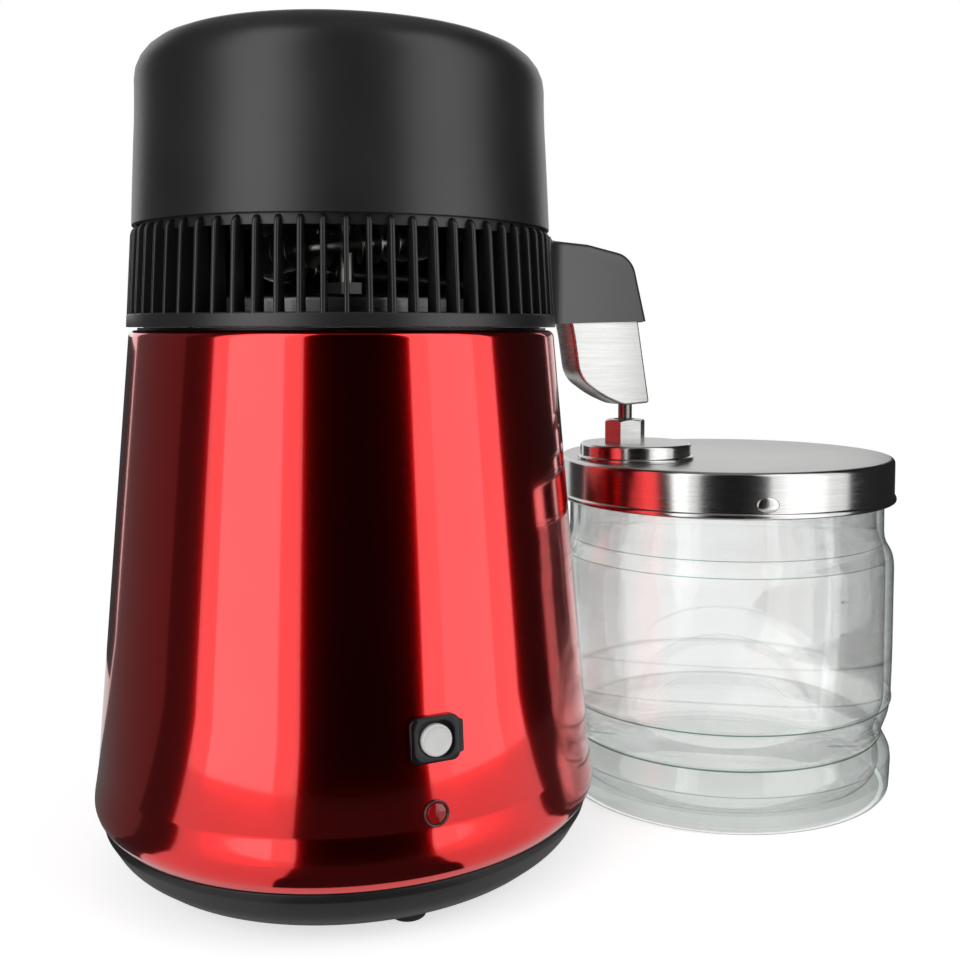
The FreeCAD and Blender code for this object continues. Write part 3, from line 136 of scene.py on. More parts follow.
def makeFinish(name, changes):
    # a fine noise for roughness and bump, and a broad one, patch times as large, for colour
    look = {**plainFinish, **changes}
    material = newMaterial(name)
    fine = surfaceNoise(material, look["grain"], look["fineDetail"])
    broad = surfaceNoise(material, [size * look["patch"] for size in look["grain"]], look["broadDetail"])
    setInputs(material, principled(material), {
        "Base Color": shade(material, broad, noiseSpan, look["dark"], look["light"]),
        "Metallic": look["metallic"],
        "Roughness": spread(material, fine, *look["roughness"]),
        "Normal": bumped(material, fine, look["bump"], look["depth"]),
        "Specular IOR Level": look["specular"],
        "Coat Weight": look["coat"],
        "Coat Roughness": look["coatRoughness"],
        "Coat IOR": look["coatIor"],
    })
    return material


finishLooks = {
    "mouldedBlack": {
        "dark": (0.008, 0.008, 0.009), "light": (0.012, 0.012, 0.013), "roughness": (0.31, 0.38),
        "grain": (0.5, 0.5, 0.5), "depth": 0.05, "bump": 0.30, "patch": 60.0,
    },
    "panBlack": {
        "dark": (0.006, 0.006, 0.007), "light": (0.010, 0.010, 0.011), "roughness": (0.44, 0.54),
        "specular": 0.4, "grain": (0.5, 0.5, 0.5), "depth": 0.05, "bump": 0.35, "patch": 60.0,
    },
    # plain black for the inner parts; on the dark wall inside the ribs it is painted shade
    "innerBlackAndPaintedShade": {
        "dark": (0.004, 0.004, 0.004), "light": (0.007, 0.007, 0.007), "roughness": (0.55, 0.65),
        "grain": (0.6, 0.6, 0.6), "depth": 0.05, "bump": 0.3, "specular": 0.3,
    },
    "footRubber": {
        "dark": (0.010, 0.010, 0.010), "light": (0.016, 0.016, 0.016), "roughness": (0.7, 0.8),
        "grain": (0.4, 0.4, 0.4), "depth": 0.05, "bump": 0.4,
    },
    "candyRed": {
        "dark": (0.86, 0.008, 0.009), "light": (0.91, 0.011, 0.013), "roughness": (0.12, 0.15),
        "metallic": 1.0, "coat": 1.0, "coatRoughness": 0.05, "coatIor": 1.56,
        "grain": (0.8, 0.8, 0.8), "depth": 0.002, "bump": 0.10, "patch": 50.0,
    },
    "brushedBand": {
        "dark": (0.49, 0.49, 0.48), "light": (0.55, 0.55, 0.54), "roughness": (0.13, 0.23), "metallic": 1.0,
        "grain": (14.0, 14.0, 0.16), "depth": 0.012, "bump": 0.35, "patch": 4.0,
    },
    "brushedTop": {
        "dark": (0.48, 0.48, 0.47), "light": (0.54, 0.54, 0.53), "roughness": (0.28, 0.40), "metallic": 1.0,
        "grain": (16.0, 0.18, 0.18), "depth": 0.012, "bump": 0.35, "patch": 4.0,
    },
    "brushedSheet": {
        "dark": (0.45, 0.45, 0.44), "light": (0.51, 0.51, 0.50), "roughness": (0.24, 0.34), "metallic": 1.0,
        "grain": (8.0, 6.0, 0.2), "depth": 0.008, "bump": 0.12, "patch": 4.0,
    },
    # a copy of the moulded black for the hood, a little lighter and with a stronger specular: painted sheen
    # that brightens the hood's side
    "hoodBlackPaintedSheen": {
        "dark": (0.010, 0.010, 0.011), "light": (0.014, 0.014, 0.015), "roughness": (0.33, 0.40),
        "specular": 0.95, "grain": (0.5, 0.5, 0.5), "depth": 0.05, "bump": 0.30, "patch": 60.0,
    },
    # the riser nut inside the head, painted dark: painted shade
    "dullSteelPaintedShade": {
        "dark": (0.09, 0.09, 0.09), "light": (0.14, 0.13, 0.13), "roughness": (0.34, 0.44), "metallic": 1.0,
        "grain": (0.5, 0.5, 0.5), "depth": 0.01, "bump": 0.25,
    },
    # a darkened steel for the condenser coil and its fins inside the head: painted shade
    "coilSteelPaintedShade": {
        "dark": (0.20, 0.19, 0.18), "light": (0.28, 0.27, 0.25), "roughness": (0.28, 0.38), "metallic": 1.0,
        "grain": (0.5, 0.5, 0.5), "depth": 0.01, "bump": 0.25,
    },
    "bareSteel": {
        "dark": (0.50, 0.50, 0.50), "light": (0.60, 0.60, 0.59), "roughness": (0.22, 0.32), "metallic": 1.0,
        "grain": (0.5, 0.5, 0.5), "depth": 0.01, "bump": 0.25,
    },
    "drawnSteel": {
        "dark": (0.50, 0.50, 0.49), "light": (0.58, 0.58, 0.57), "roughness": (0.25, 0.38), "metallic": 1.0,
        "grain": (10.0, 10.0, 0.3), "depth": 0.02, "bump": 0.3, "patch": 5.0,
    },
    # the steam lid's steel, painted far darker than steel: painted shade for the dim inside of the head
    "pressedSteelPaintedShade": {
        "dark": (0.13, 0.13, 0.13), "light": (0.17, 0.17, 0.17), "roughness": (0.26, 0.36), "metallic": 1.0,
        "grain": (10.0, 10.0, 0.3), "depth": 0.01, "bump": 0.2, "patch": 5.0,
    },
    "rolledAluminium": {
        "dark": (0.66, 0.66, 0.67), "light": (0.76, 0.76, 0.77), "roughness": (0.28, 0.38), "metallic": 1.0,
        "grain": (0.6, 0.6, 0.6), "depth": 0.01, "bump": 0.25,
    },
    "turnedBrass": {
        "dark": (0.62, 0.42, 0.16), "light": (0.70, 0.50, 0.21), "roughness": (0.22, 0.30), "metallic": 1.0,
        "grain": (0.5, 0.5, 0.5), "depth": 0.01, "bump": 0.2,
    },
    "motorSteel": {
        "dark": (0.30, 0.30, 0.31), "light": (0.38, 0.38, 0.39), "roughness": (0.35, 0.45), "metallic": 1.0,
        "grain": (0.5, 0.5, 0.5), "depth": 0.02, "bump": 0.3,
    },
    "switchBlack": {
        "dark": (0.005, 0.005, 0.006), "light": (0.008, 0.008, 0.009), "roughness": (0.12, 0.18),
        "specular": 0.22, "coat": 0.12, "grain": (0.3, 0.3, 0.3), "depth": 0.01, "bump": 0.2,
    },
    "buttonGrey": {
        "dark": (0.56, 0.56, 0.55), "light": (0.60, 0.60, 0.59), "roughness": (0.36, 0.44),
        "grain": (0.3, 0.3, 0.3), "depth": 0.01, "bump": 0.2,
    },
    "lensRed": {
        "dark": (0.20, 0.002, 0.003), "light": (0.27, 0.003, 0.005), "roughness": (0.10, 0.14), "coat": 0.4,
        "grain": (0.6, 0.6, 0.6), "depth": 0.004, "bump": 0.15,
    },
    "lensRim": {
        "dark": (0.06, 0.014, 0.015), "light": (0.10, 0.025, 0.026), "roughness": (0.15, 0.22), "coat": 0.3,
        "grain": (0.4, 0.4, 0.4), "depth": 0.005, "bump": 0.15,
    },
    "lampGlass": {
        "dark": (0.75, 0.55, 0.35), "light": (0.85, 0.65, 0.45), "roughness": (0.08, 0.14),
        "grain": (0.6, 0.6, 0.6), "depth": 0.004, "bump": 0.1,
    },
    "siliconeSeal": {
        "dark": (0.62, 0.63, 0.62), "light": (0.70, 0.71, 0.70), "roughness": (0.45, 0.55),
        "grain": (0.5, 0.5, 0.5), "depth": 0.02, "bump": 0.3,
    },
    "sachetFleece": {
        "dark": (0.60, 0.60, 0.57), "light": (0.72, 0.72, 0.69), "roughness": (0.85, 0.95),
        "grain": (0.3, 0.3, 0.3), "depth": 0.15, "bump": 0.8,
    },
}
finish = {name: makeFinish(name, look) for name, look in finishLooks.items()}

# painted shade on the tank: its steel beyond this radius, under the collar, is painted this level
tankShadeLook = {"paintedShadeRadius": 91.5, "level": 0.02}


def makeTankSteelWithPaintedShade():
    # drawn steel with painted shade: beyond a radius, the flange edge under the collar is painted near black
    level = tankShadeLook["level"]
    material = makeFinish("tankSteelPaintedShade", finishLooks["drawnSteel"])
    base = principled(material)
    offset = addNode(material, "ShaderNodeVectorMath", {
        0: ownPlace(material), 1: boilerAxis,
    }, operation="SUBTRACT")
    outwards = addNode(material, "ShaderNodeVectorMath", {
        0: offset.outputs["Vector"], 1: (1.0, 1.0, 0.0),
    }, operation="MULTIPLY")
    radius = addNode(material, "ShaderNodeVectorMath", {0: outwards.outputs["Vector"]}, operation="LENGTH")
    beyond = addNode(material, "ShaderNodeMath", {
        0: radius.outputs["Value"], 1: tankShadeLook["paintedShadeRadius"] * mm,
    }, operation="GREATER_THAN")
    choose = addNode(material, "ShaderNodeMixRGB", {
        "Fac": beyond.outputs[0], "Color1": base.inputs["Base Color"].links[0].from_socket,
        "Color2": (level, level, level, 1.0),
    })
    setInputs(material, base, {"Base Color": choose.outputs["Color"]})
    return material


finish["tankSteelPaintedShade"] = makeTankSteelWithPaintedShade()

glassLook = {
    "colour": (0.94, 0.945, 0.94), "ior": 1.5, "waves": (9.0, 9.0, 16.0), "waveDetail": 2.0,
    "roughness": 0.012, "bump": 0.10, "bumpDepth": 0.35, "depth": (0.80, 0.93, 0.87), "density": 13.0,
    "face": (0.925, 0.927, 0.926), "edge": (0.22, 0.30, 0.25), "edgeFrom": 0.72, "thin": 0.6,
    "shine": 0.035, "edgeShine": 0.80, "shinePower": 4.5, "shineRoughness": 0.03,
}
glassKinds = {
    "clearGlass": {},
    # painted shade: darker, greener copies of the glass for the lines at the ridges
    "seamGlassPaintedShade": {"face": (0.20, 0.30, 0.24), "edge": (0.08, 0.14, 0.10), "thin": 0.85},
    "softSeamGlassPaintedShade": {"face": (0.58, 0.64, 0.60), "edge": (0.20, 0.26, 0.22), "thin": 0.85},
}


def thinGlass(material, look, normal):
    # lets light straight through, with more tint and more shine towards the edges
    facing = addNode(material, "ShaderNodeLayerWeight", {"Normal": normal}).outputs["Facing"]
    tint = shade(material, facing, (look["edgeFrom"], 1.0), look["face"], look["edge"])
    through = addNode(material, "ShaderNodeBsdfTransparent", {"Color": tint})
    power = addNode(material, "ShaderNodeMath", {0: facing, 1: look["shinePower"]}, operation="POWER")
    amount = addNode(material, "ShaderNodeMapRange", {
        "Value": power.outputs[0], "To Min": look["shine"], "To Max": look["edgeShine"],
    })
    gloss = addNode(material, "ShaderNodeBsdfAnisotropic", {
        "Roughness": look["shineRoughness"], "Normal": normal,
    })
    both = addNode(material, "ShaderNodeMixShader", {
        "Fac": amount.outputs["Result"], 1: through.outputs["BSDF"], 2: gloss.outputs["BSDF"],
    })
    return both.outputs["Shader"]


def makeJarGlass(name, changes):
    # clear soda glass with a green cast in its depth, part refracting and part thin
    look = {**glassLook, **changes}
    material = newMaterial(name)
    waves = surfaceNoise(material, look["waves"], look["waveDetail"])
    normal = bumped(material, waves, look["bump"], look["bumpDepth"])
    thick = principled(material)
    setInputs(material, thick, {
        "Base Color": (*look["colour"], 1.0), "Transmission Weight": 1.0, "IOR": look["ior"],
        "Roughness": spread(material, waves, 0.0, look["roughness"]), "Normal": normal,
    })
    path = addNode(material, "ShaderNodeLightPath").outputs
    share = addNode(material, "ShaderNodeMath", {
        0: path["Is Shadow Ray"], 1: look["thin"],
    }, operation="MAXIMUM")
    choose = addNode(material, "ShaderNodeMixShader", {
        "Fac": share.outputs[0], 1: thick.outputs["BSDF"], 2: thinGlass(material, look, normal),
    })
    depth = addNode(material, "ShaderNodeVolumeAbsorption", {
        "Color": (*look["depth"], 1.0), "Density": look["density"],
    })
    setOutput(material, {"Surface": choose.outputs["Shader"], "Volume": depth.outputs["Volume"]})
    return material


finish.update({name: makeJarGlass(name, changes) for name, changes in glassKinds.items()})
print("finishes made:", len(finish))


def newObject(name, mesh, materials):
    data = bpy.data.meshes.new(name)
    mesh.to_mesh(data)
    mesh.free()
    for material in materials:
        data.materials.append(material)
    made = bpy.data.objects.new(name, data)
    bpy.context.scene.collection.objects.link(made)
    return made


def newPiece(name, mesh, body, finishes, replaces, sharp=32.0):
    bmesh.ops.remove_doubles(mesh, verts=mesh.verts[:], dist=weld)
    bmesh.ops.recalc_face_normals(mesh, faces=mesh.faces[:])
    for face in mesh.faces:
        face.smooth = True
    for edge in mesh.edges:
        edge.smooth = edge.calc_face_angle(0.0) < math.radians(sharp)
    piece = newObject(name, mesh, [finish[key] for key in finishes])
    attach(piece, body)
    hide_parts(*replaces)


def roundOff(mesh, geom, size, steps, affect="EDGES"):
    bmesh.ops.bevel(
        mesh, geom=geom, offset=size * mm, offset_type="OFFSET", segments=steps, profile=0.5,
        affect=affect, material=-1,
    )


def slide(mesh, verts, way):
    bmesh.ops.translate(mesh, verts=verts, vec=Vector(way) * mm)


def vertsIn(geom):
    return [item for item in geom if isinstance(item, bmesh.types.BMVert)]


def drawOutline(mesh, corners, toPoint, closed=True):
    # a chain of corners, each (across, up, ease), rounded by its ease
    made = [mesh.verts.new(toPoint(across * mm, up * mm)) for across, up, _ in corners]
    chain = [mesh.edges.new(pair) for pair in zip(made, made[1:])]
    if closed:
        chain.append(mesh.edges.new((made[-1], made[0])))
    for corner, (_, _, ease) in zip(made, corners):
        if ease:
            roundOff(mesh, [corner], ease, steps=6, affect="VERTICES")


def addTurned(mesh, outline, axis, turns):
    # spins an outline of (radius, height, ease) about an upright axis
    part = bmesh.new()
    onAxis = outline[0][0] == 0
    drawOutline(part, outline, lambda radius, height: (axis.x + radius, axis.y, height), not onAxis)
    bmesh.ops.spin(
        part, geom=part.verts[:] + part.edges[:], cent=axis, axis=(0, 0, 1), dvec=(0, 0, 0),
        angle=2 * math.pi, steps=turns, use_merge=True, use_duplicate=False,
    )
    bmesh.ops.remove_doubles(part, verts=part.verts[:], dist=weld)
    bmesh.ops.recalc_face_normals(part, faces=part.faces[:])
    addPart(mesh, part)


def addPart(mesh, part):
    carrier = bpy.data.meshes.new("carrier")
    part.to_mesh(carrier)
    part.free()
    mesh.from_mesh(carrier)
    bpy.data.meshes.remove(carrier)


def addRound(mesh, part, axis, azimuth, out, z):
    # moves a part out from an axis and round it, and adds it
    spot = Matrix.Translation(Vector((out, 0, z)) * mm)
    place = Matrix.Translation(axis) @ Matrix.Rotation(math.radians(azimuth), 4, "Z") @ spot
    bmesh.ops.transform(part, matrix=place, verts=part.verts[:])
    addPart(mesh, part)


def turned(outline, axis, turns):
    mesh = bmesh.new()
    addTurned(mesh, outline, axis, turns)
    return mesh


def plate(outline, toPoint, thickness, way):
    # a flat outline of (across, up, ease), pushed out along a direction
    mesh = bmesh.new()
    drawOutline(mesh, outline, toPoint)
    face = bmesh.ops.contextual_create(mesh, geom=mesh.edges[:])["faces"]
    pushed = bmesh.ops.extrude_face_region(mesh, geom=face, use_keep_orig=True)["geom"]
    slide(mesh, vertsIn(pushed), Vector(way) * thickness)
    bmesh.ops.recalc_face_normals(mesh, faces=mesh.faces[:])
    return mesh


def block(long, wide, high, ease):
    mesh = bmesh.new()
    bmesh.ops.create_cube(mesh, size=mm)
    bmesh.ops.scale(mesh, vec=(long, wide, high), verts=mesh.verts[:])
    roundOff(mesh, mesh.edges[:], ease, steps=2)
    return mesh


def finishTop(mesh, z, within):
    # gives the second finish to the faces at a height
    for face in mesh.faces:
        if abs(face.calc_center_median().z - z * mm) < within * mm:
            face.material_index = 1


shellLook = {
    "foot": 111.4, "bottom": 28.0, "belly": 115.0, "bellyLow": 33.5, "bellyHigh": 38.0, "flare": 113.1,
    "flareZ": 50.0, "rim": 96.2, "top": 244.2, "lip": 84.4, "wall": 1.0, "turns": 240,
    "switch": {"z": 85.0, "rise": 16.4, "steps": 3, "side": -1},
    "inlet": {"z": 62.0, "rise": 22.0, "steps": 5, "side": 1},
}


def shellFace(z):
    look = shellLook
    share = (look["top"] - z) / (look["top"] - look["flareZ"])
    return look["rim"] + (look["flare"] - look["rim"]) * share


def openShell(mesh, opening):
    # takes out both walls over a rectangle on the front or the back, and joins the two rims
    step = 2 * math.pi / shellLook["turns"]
    chosen = []
    for face in mesh.faces:
        middle = face.calc_center_median() - boilerAxis
        off = abs(math.atan2(middle.x, middle.y * opening["side"]))
        if off < opening["steps"] * step and abs(middle.z - opening["z"] * mm) < opening["rise"] / 2 * mm:
            chosen.append(face)
    bmesh.ops.delete(mesh, geom=chosen, context="FACES")
    rims = [edge for edge in mesh.edges if edge.is_boundary]
    bmesh.ops.bridge_loops(mesh, edges=rims)


def makeShell():
    look = shellLook
    wall = look["wall"]
    openings = (look["inlet"], look["switch"])
    rows = [opening["z"] + half * opening["rise"] for opening in openings for half in (-0.5, 0.5)]
    outer = [(shellFace(z), z, 0) for z in rows]
    inner = [(radius - wall, z, 0) for radius, z, _ in reversed(outer)]
    outline = [
        (look["foot"], look["bottom"], 0.4), (look["belly"], look["bellyLow"], 2.6),
        (look["belly"], look["bellyHigh"], 2.4), (look["flare"], look["flareZ"], 6.0), *outer,
        (look["rim"], look["top"], 3.0), (look["lip"], look["top"], 0),
        (look["lip"], look["top"] - wall, 0), (look["rim"] - wall, look["top"] - wall, 2.2), *inner,
        (look["flare"] - wall, look["flareZ"], 6.0), (look["belly"] - wall, look["bellyHigh"], 2.2),
        (look["belly"] - wall, look["bellyLow"], 2.2), (look["foot"] - wall, look["bottom"], 0.4),
    ]
    mesh = turned(outline, boilerAxis, look["turns"])
    for opening in reversed(openings):
        openShell(mesh, opening)
    newPiece("redShell", mesh, "base", ["candyRed"], ["outer_shell"])


makeShell()
print("shell made")


panLook = {
    "turns": 160,
    "outline": [
        (0, 7.75, 0), (96.7, 7.75, 2.0), (105.5, 14.75, 3.0), (111.2, 24.5, 0.8), (111.2, 27.7, 0.8),
        (110.0, 27.7, 0), (110.0, 34.0, 0.5), (107.5, 34.0, 0.5), (107.5, 24.5, 2.0), (103.0, 17.25, 3.0),
        (94.2, 10.25, 2.0), (0, 10.25, 0),
    ],
}
pan = turned(panLook["outline"], boilerAxis, panLook["turns"])
newPiece("basePan", pan, "base", ["panBlack"], ["base_pan"])

footLook = {
    "circle": 79.5, "turns": 40,
    "outline": [(0, 0, 0), (7.5, 0, 1.2), (7.5, 7.75, 0.6), (0, 7.75, 0)],
}
feet = bmesh.new()
for quarter in range(4):
    spot = Matrix.Rotation(quarter * math.pi / 2, 4, "Z") @ Vector((footLook["circle"] * mm, 0, 0))
    addTurned(feet, footLook["outline"], boilerAxis + spot, footLook["turns"])
newPiece("rubberFeet", feet, "base", ["footRubber"], ["rubber_feet"])
print("pan and feet made")


def onShell(mesh, z):
    # stands a piece drawn flat, facing +Z, on the front of the shell's leaning wall
    lean = math.atan2(shellLook["flare"] - shellLook["rim"], shellLook["top"] - shellLook["flareZ"])
    spot = Matrix.Translation(boilerAxis + Vector((0, -shellFace(z), z)) * mm)
    bmesh.ops.transform(mesh, matrix=spot @ Matrix.Rotation(math.pi / 2 - lean, 4, "X"), verts=mesh.verts[:])
    return mesh


def flat(across, up):
    return (across, up, 0)


bezelLook = {
    "z": 85.0, "width": 20.5, "rise": 18.0, "round": 3.2, "thickness": 2.4, "edge": 0.55,
    "bore": 6.75, "boreTurns": 48, "boreEdge": 0.3, "seat": 0.6,
    "tab": {"reach": 12.05, "half": 6.5, "thickness": 1.4, "round": 0.9, "overlap": 0.4},
}


def makeBezel():
    look = bezelLook
    x, y = look["width"] / 2, look["rise"] / 2
    mesh = bmesh.new()
    drawOutline(mesh, [(*corner, look["round"]) for corner in ((-x, -y), (x, -y), (x, y), (-x, y))], flat)
    rim = mesh.edges[:]
    hole = bmesh.ops.create_circle(
        mesh, cap_ends=False, segments=look["boreTurns"], radius=look["bore"] * mm)["verts"]
    slide(mesh, mesh.verts[:], (0, 0, look["thickness"]))
    bore = [edge for edge in mesh.edges if edge.verts[0] in hole]
    bmesh.ops.bridge_loops(mesh, edges=rim + bore)
    for loop, drop in ((rim, look["thickness"]), (bore, look["thickness"] - look["seat"])):
        wall = bmesh.ops.extrude_edge_only(mesh, edges=loop)["geom"]
        slide(mesh, vertsIn(wall), (0, 0, -drop))
    roundOff(mesh, rim, look["edge"], steps=3)
    roundOff(mesh, bore, look["boreEdge"], steps=2)
    tab = look["tab"]
    inner, outer, half = x - tab["overlap"], tab["reach"], tab["half"]
    corners = [(inner, -half, 0), (outer, -half, tab["round"]), (outer, half, tab["round"]), (inner, half, 0)]
    addPart(mesh, plate(corners, flat, tab["thickness"], (0, 0, 1)))
    onShell(mesh, look["z"])
    newPiece("switchBezel", mesh, "base", ["switchBlack"], ["switch_bezel"])


makeBezel()

onAxis = Vector((0, 0, 0))
buttonLook = {
    "z": 85.0, "turns": 64,
    "outline": [
        (0, -8.0, 0), (3.0, -8.0, 0.3), (3.0, -1.0, 0), (6.3, -1.0, 0.3), (6.3, 4.3, 0.8), (5.5, 4.3, 0.35),
        (5.1, 3.95, 0.3), (0, 3.8, 0),
    ],
}
button = onShell(turned(buttonLook["outline"], onAxis, buttonLook["turns"]), buttonLook["z"])
newPiece("resetButton", button, "button", ["buttonGrey"], ["reset_button"])

lensLook = {
    "z": 56.0, "turns": 56,
    "rim": [
        (4.2, -5.0, 0), (4.2, 0, 0), (5.3, 0, 0), (5.3, 1.1, 0.4), (4.6, 1.1, 0.3), (4.3, 0.5, 0),
        (3.6, -5.0, 0),
    ],
    "dome": [(0, 0.2, 0), (4.1, 0.2, 0), (4.0, 0.8, 0.4), (2.2, 1.3, 1.2), (0, 1.3, 0)],
}
lens = turned(lensLook["rim"], onAxis, lensLook["turns"])
rimFaces = len(lens.faces)
addTurned(lens, lensLook["dome"], onAxis, lensLook["turns"])
for face in lens.faces[:][rimFaces:]:
    face.material_index = 1
onShell(lens, lensLook["z"])
newPiece("indicatorLens", lens, "base", ["lensRim", "lensRed"], ["indicator_lens"])
print("button, bezel and lens made")


ringLook = {
    "collar": [
        (94.5, 245.5, 0.3), (97.3, 245.5, 0.5), (97.0, 251.3, 0.9), (76.0, 251.3, 0), (76.0, 248.2, 0),
        (94.5, 248.2, 0),
    ],
    "topRing": [(88.2, 285.1, 0.4), (91.4, 285.1, 0.4), (91.4, 295.6, 0.4), (88.2, 295.6, 0.4)],
    "rib": [(88.6, 250.5, 0), (97.0, 250.5, 0), (94.6, 289.1, 3.6), (88.6, 289.1, 0)],
    "ribThickness": 2.0, "ribCount": 66, "ribPhase": 2.327, "ribsOpen": 2, "ribEdge": 0.7,
    "ribEdgeFrom": 89.0, "turns": 176,
    # painted shade: a dark curved wall inside the ribs at the back
    "guard": {
        "inner": 76.0, "outer": 77.5, "bottom": 248.2, "top": 289.1, "start": 12.0, "sweep": 158.0,
        "steps": 48,
    },
}
hoodLook = {
    "root": 90.0, "rootEdge": 93.9, "half": 12.0, "blend": 11.0, "blendX": 97.0, "reach": 156.0,
    "bottom": 246.9, "tilt": 1.9, "nose": (147.6, 281.8), "brow": (122.0, 287.0), "top": 289.1,
    "noseRound": 8.0, "wall": 2.4, "edge": 2.4, "edgeFrom": 99.0, "edgeAbove": 3.0, "edgeAngle": 50.0,
    "openTo": 90.5,
    "blank": {"side": 2.0, "front": 10.0, "below": 2.0, "height": 50.0},
}


def sideEdges(mesh):
    # the edges round the two flat sides of a plate pushed out along Y
    return [edge for edge in mesh.edges if abs(edge.verts[0].co.y - edge.verts[1].co.y) < weld]


def cut(mesh, spot, normal, clear=False):
    geom = mesh.verts[:] + mesh.edges[:] + mesh.faces[:]
    bmesh.ops.bisect_plane(mesh, geom=geom, plane_co=spot, plane_no=normal, clear_outer=clear)


def makeRibs():
    look = ringLook
    step = 2 * math.pi / look["ribCount"]
    start = -look["ribThickness"] / 2 * mm
    rib = plate(look["rib"], lambda out, up: (boilerAxis.x + out, start, up), look["ribThickness"], (0, 1, 0))
    fromX = boilerAxis.x + look["ribEdgeFrom"] * mm
    outer = [edge for edge in sideEdges(rib) if (edge.verts[0].co.x + edge.verts[1].co.x) / 2 > fromX]
    roundOff(rib, outer, look["ribEdge"], steps=3)
    first = Matrix.Rotation(math.radians(look["ribPhase"]) + step, 3, "Z")
    bmesh.ops.rotate(rib, cent=boilerAxis, matrix=first, verts=rib.verts[:])
    count = look["ribCount"] - look["ribsOpen"]
    bmesh.ops.spin(
        rib, geom=rib.verts[:] + rib.edges[:] + rib.faces[:], cent=boilerAxis, axis=(0, 0, 1), dvec=(0, 0, 0),
        angle=step * (count - 1), steps=count - 1, use_merge=False, use_duplicate=True,
    )
    return rib


def makeShadeBaffle():
    # a curved dark wall inside the ribs at the back, so that no light shows through: a dark sheet put where
    # the head's inside is only in shade, as painted shade
    look = ringLook["guard"]
    guard = bmesh.new()
    corners = [(look["inner"], look["bottom"], 0), (look["outer"], look["bottom"], 0),
               (look["outer"], look["top"], 0), (look["inner"], look["top"], 0)]
    drawOutline(guard, corners, lambda radius, height: (boilerAxis.x + radius, 0, height))
    start = Matrix.Rotation(math.radians(look["start"]), 3, "Z")
    bmesh.ops.rotate(guard, cent=boilerAxis, matrix=start, verts=guard.verts[:])
    bmesh.ops.spin(
        guard, geom=guard.verts[:] + guard.edges[:], cent=boilerAxis, axis=(0, 0, 1), dvec=(0, 0, 0),
        angle=math.radians(look["sweep"]), steps=look["steps"], use_merge=False, use_duplicate=False,
    )
    bmesh.ops.holes_fill(guard, edges=[edge for edge in guard.edges if edge.is_boundary], sides=4)
    bmesh.ops.recalc_face_normals(guard, faces=guard.faces[:])
    for face in guard.faces:
        face.material_index = 1
    return guard


def makeHood():
    # a blank drawn from above, then trimmed to its side outline by planes across it
    look = hoodLook
    blank = look["blank"]
    low = look["bottom"]
    base = (low - blank["below"]) * mm
    wide = look["half"] + look["blend"] + blank["side"]
    half = [
        (look["root"], wide, 0), (look["rootEdge"], wide, 0), (look["blendX"], look["half"], look["blend"]),
        (look["reach"] + blank["front"], look["half"], 0),
    ]
    plan = [(out, -across, ease) for out, across, ease in half] + half[::-1]
    hood = plate(plan, lambda out, across: (boilerAxis.x + out, across, base), blank["height"], (0, 0, 1))
    side = [
        (look["root"], low), (look["reach"], low + look["tilt"]), look["nose"], look["brow"],
        (look["root"], look["top"]),
    ]
    for (x1, z1), (x2, z2) in zip(side, side[1:]):
        spot = Vector((boilerAxis.x + x1 * mm, 0, z1 * mm))
        cut(hood, spot, Vector((z2 - z1, 0, x1 - x2)).normalized(), clear=True)
        bmesh.ops.contextual_create(hood, geom=[edge for edge in hood.edges if edge.is_boundary])
    bmesh.ops.recalc_face_normals(hood, faces=hood.faces[:])
    tip = Vector((boilerAxis.x, 0, 0)) + Vector((look["nose"][0], 0, look["nose"][1])) * mm
    near = 0.1 * mm
    nose = [edge for edge in hood.edges if all((vert.co - tip).xz.length < near for vert in edge.verts)]
    roundOff(hood, nose, look["noseRound"], steps=10)
    corners = [
        edge for edge in hood.edges
        if edge.calc_face_angle(0.0) > math.radians(look["edgeAngle"])
        and min(vert.co.x for vert in edge.verts) > boilerAxis.x + look["edgeFrom"] * mm
        and max(vert.co.z for vert in edge.verts) > (low + look["edgeAbove"]) * mm
    ]
    roundOff(hood, corners, look["edge"], steps=4)
    # the end inside the ring and the underside are open
    openTo = boilerAxis.x + look["openTo"] * mm
    hidden = [face for face in hood.faces if face.calc_center_median().x < openTo or face.normal.z < -0.9]
    bmesh.ops.delete(hood, geom=hidden, context="FACES")
    bmesh.ops.recalc_face_normals(hood, faces=hood.faces[:])
    bmesh.ops.solidify(hood, geom=hood.faces[:], thickness=look["wall"] * mm)
    # the hood takes the copy of the black with painted sheen
    for face in hood.faces:
        face.material_index = 2
    return hood


def makeRing():
    mesh = turned(ringLook["collar"], boilerAxis, ringLook["turns"])
    addTurned(mesh, ringLook["topRing"], boilerAxis, ringLook["turns"])
    addPart(mesh, makeRibs())
    addPart(mesh, makeShadeBaffle())
    addPart(mesh, makeHood())
    finishes = ["mouldedBlack", "innerBlackAndPaintedShade", "hoodBlackPaintedSheen"]
    newPiece("louvreRing", mesh, "head", finishes, ["louvre_ring"])


makeRing()
print("louvre ring made")


capLook = {
    "turns": 192,
    "outline": [
        (0, 369.4, 0), (45.8, 369.2, 18.0), (89.4, 367.3, 14.8), (92.0, 289.5, 0.4), (94.2, 289.5, 0.7),
        (93.3, 313.0, 12.0), (91.8, 340.0, 8.0), (91.65, 369.7, 16.8), (45.8, 371.3, 18.0), (0, 371.6, 0),
    ],
    "lugs": {"out": 87.1, "z": 352.3, "length": 7.0, "width": 10.0, "height": 9.0, "edge": 0.5},
}


def makeCap():
    mesh = turned(capLook["outline"], boilerAxis, capLook["turns"])
    look = capLook["lugs"]
    for quarter in range(4):
        lug = block(look["length"], look["width"], look["height"], look["edge"])
        addRound(mesh, lug, boilerAxis, quarter * 90, look["out"], look["z"])
    newPiece("topCap", mesh, "head", ["mouldedBlack"], ["top_cap"])


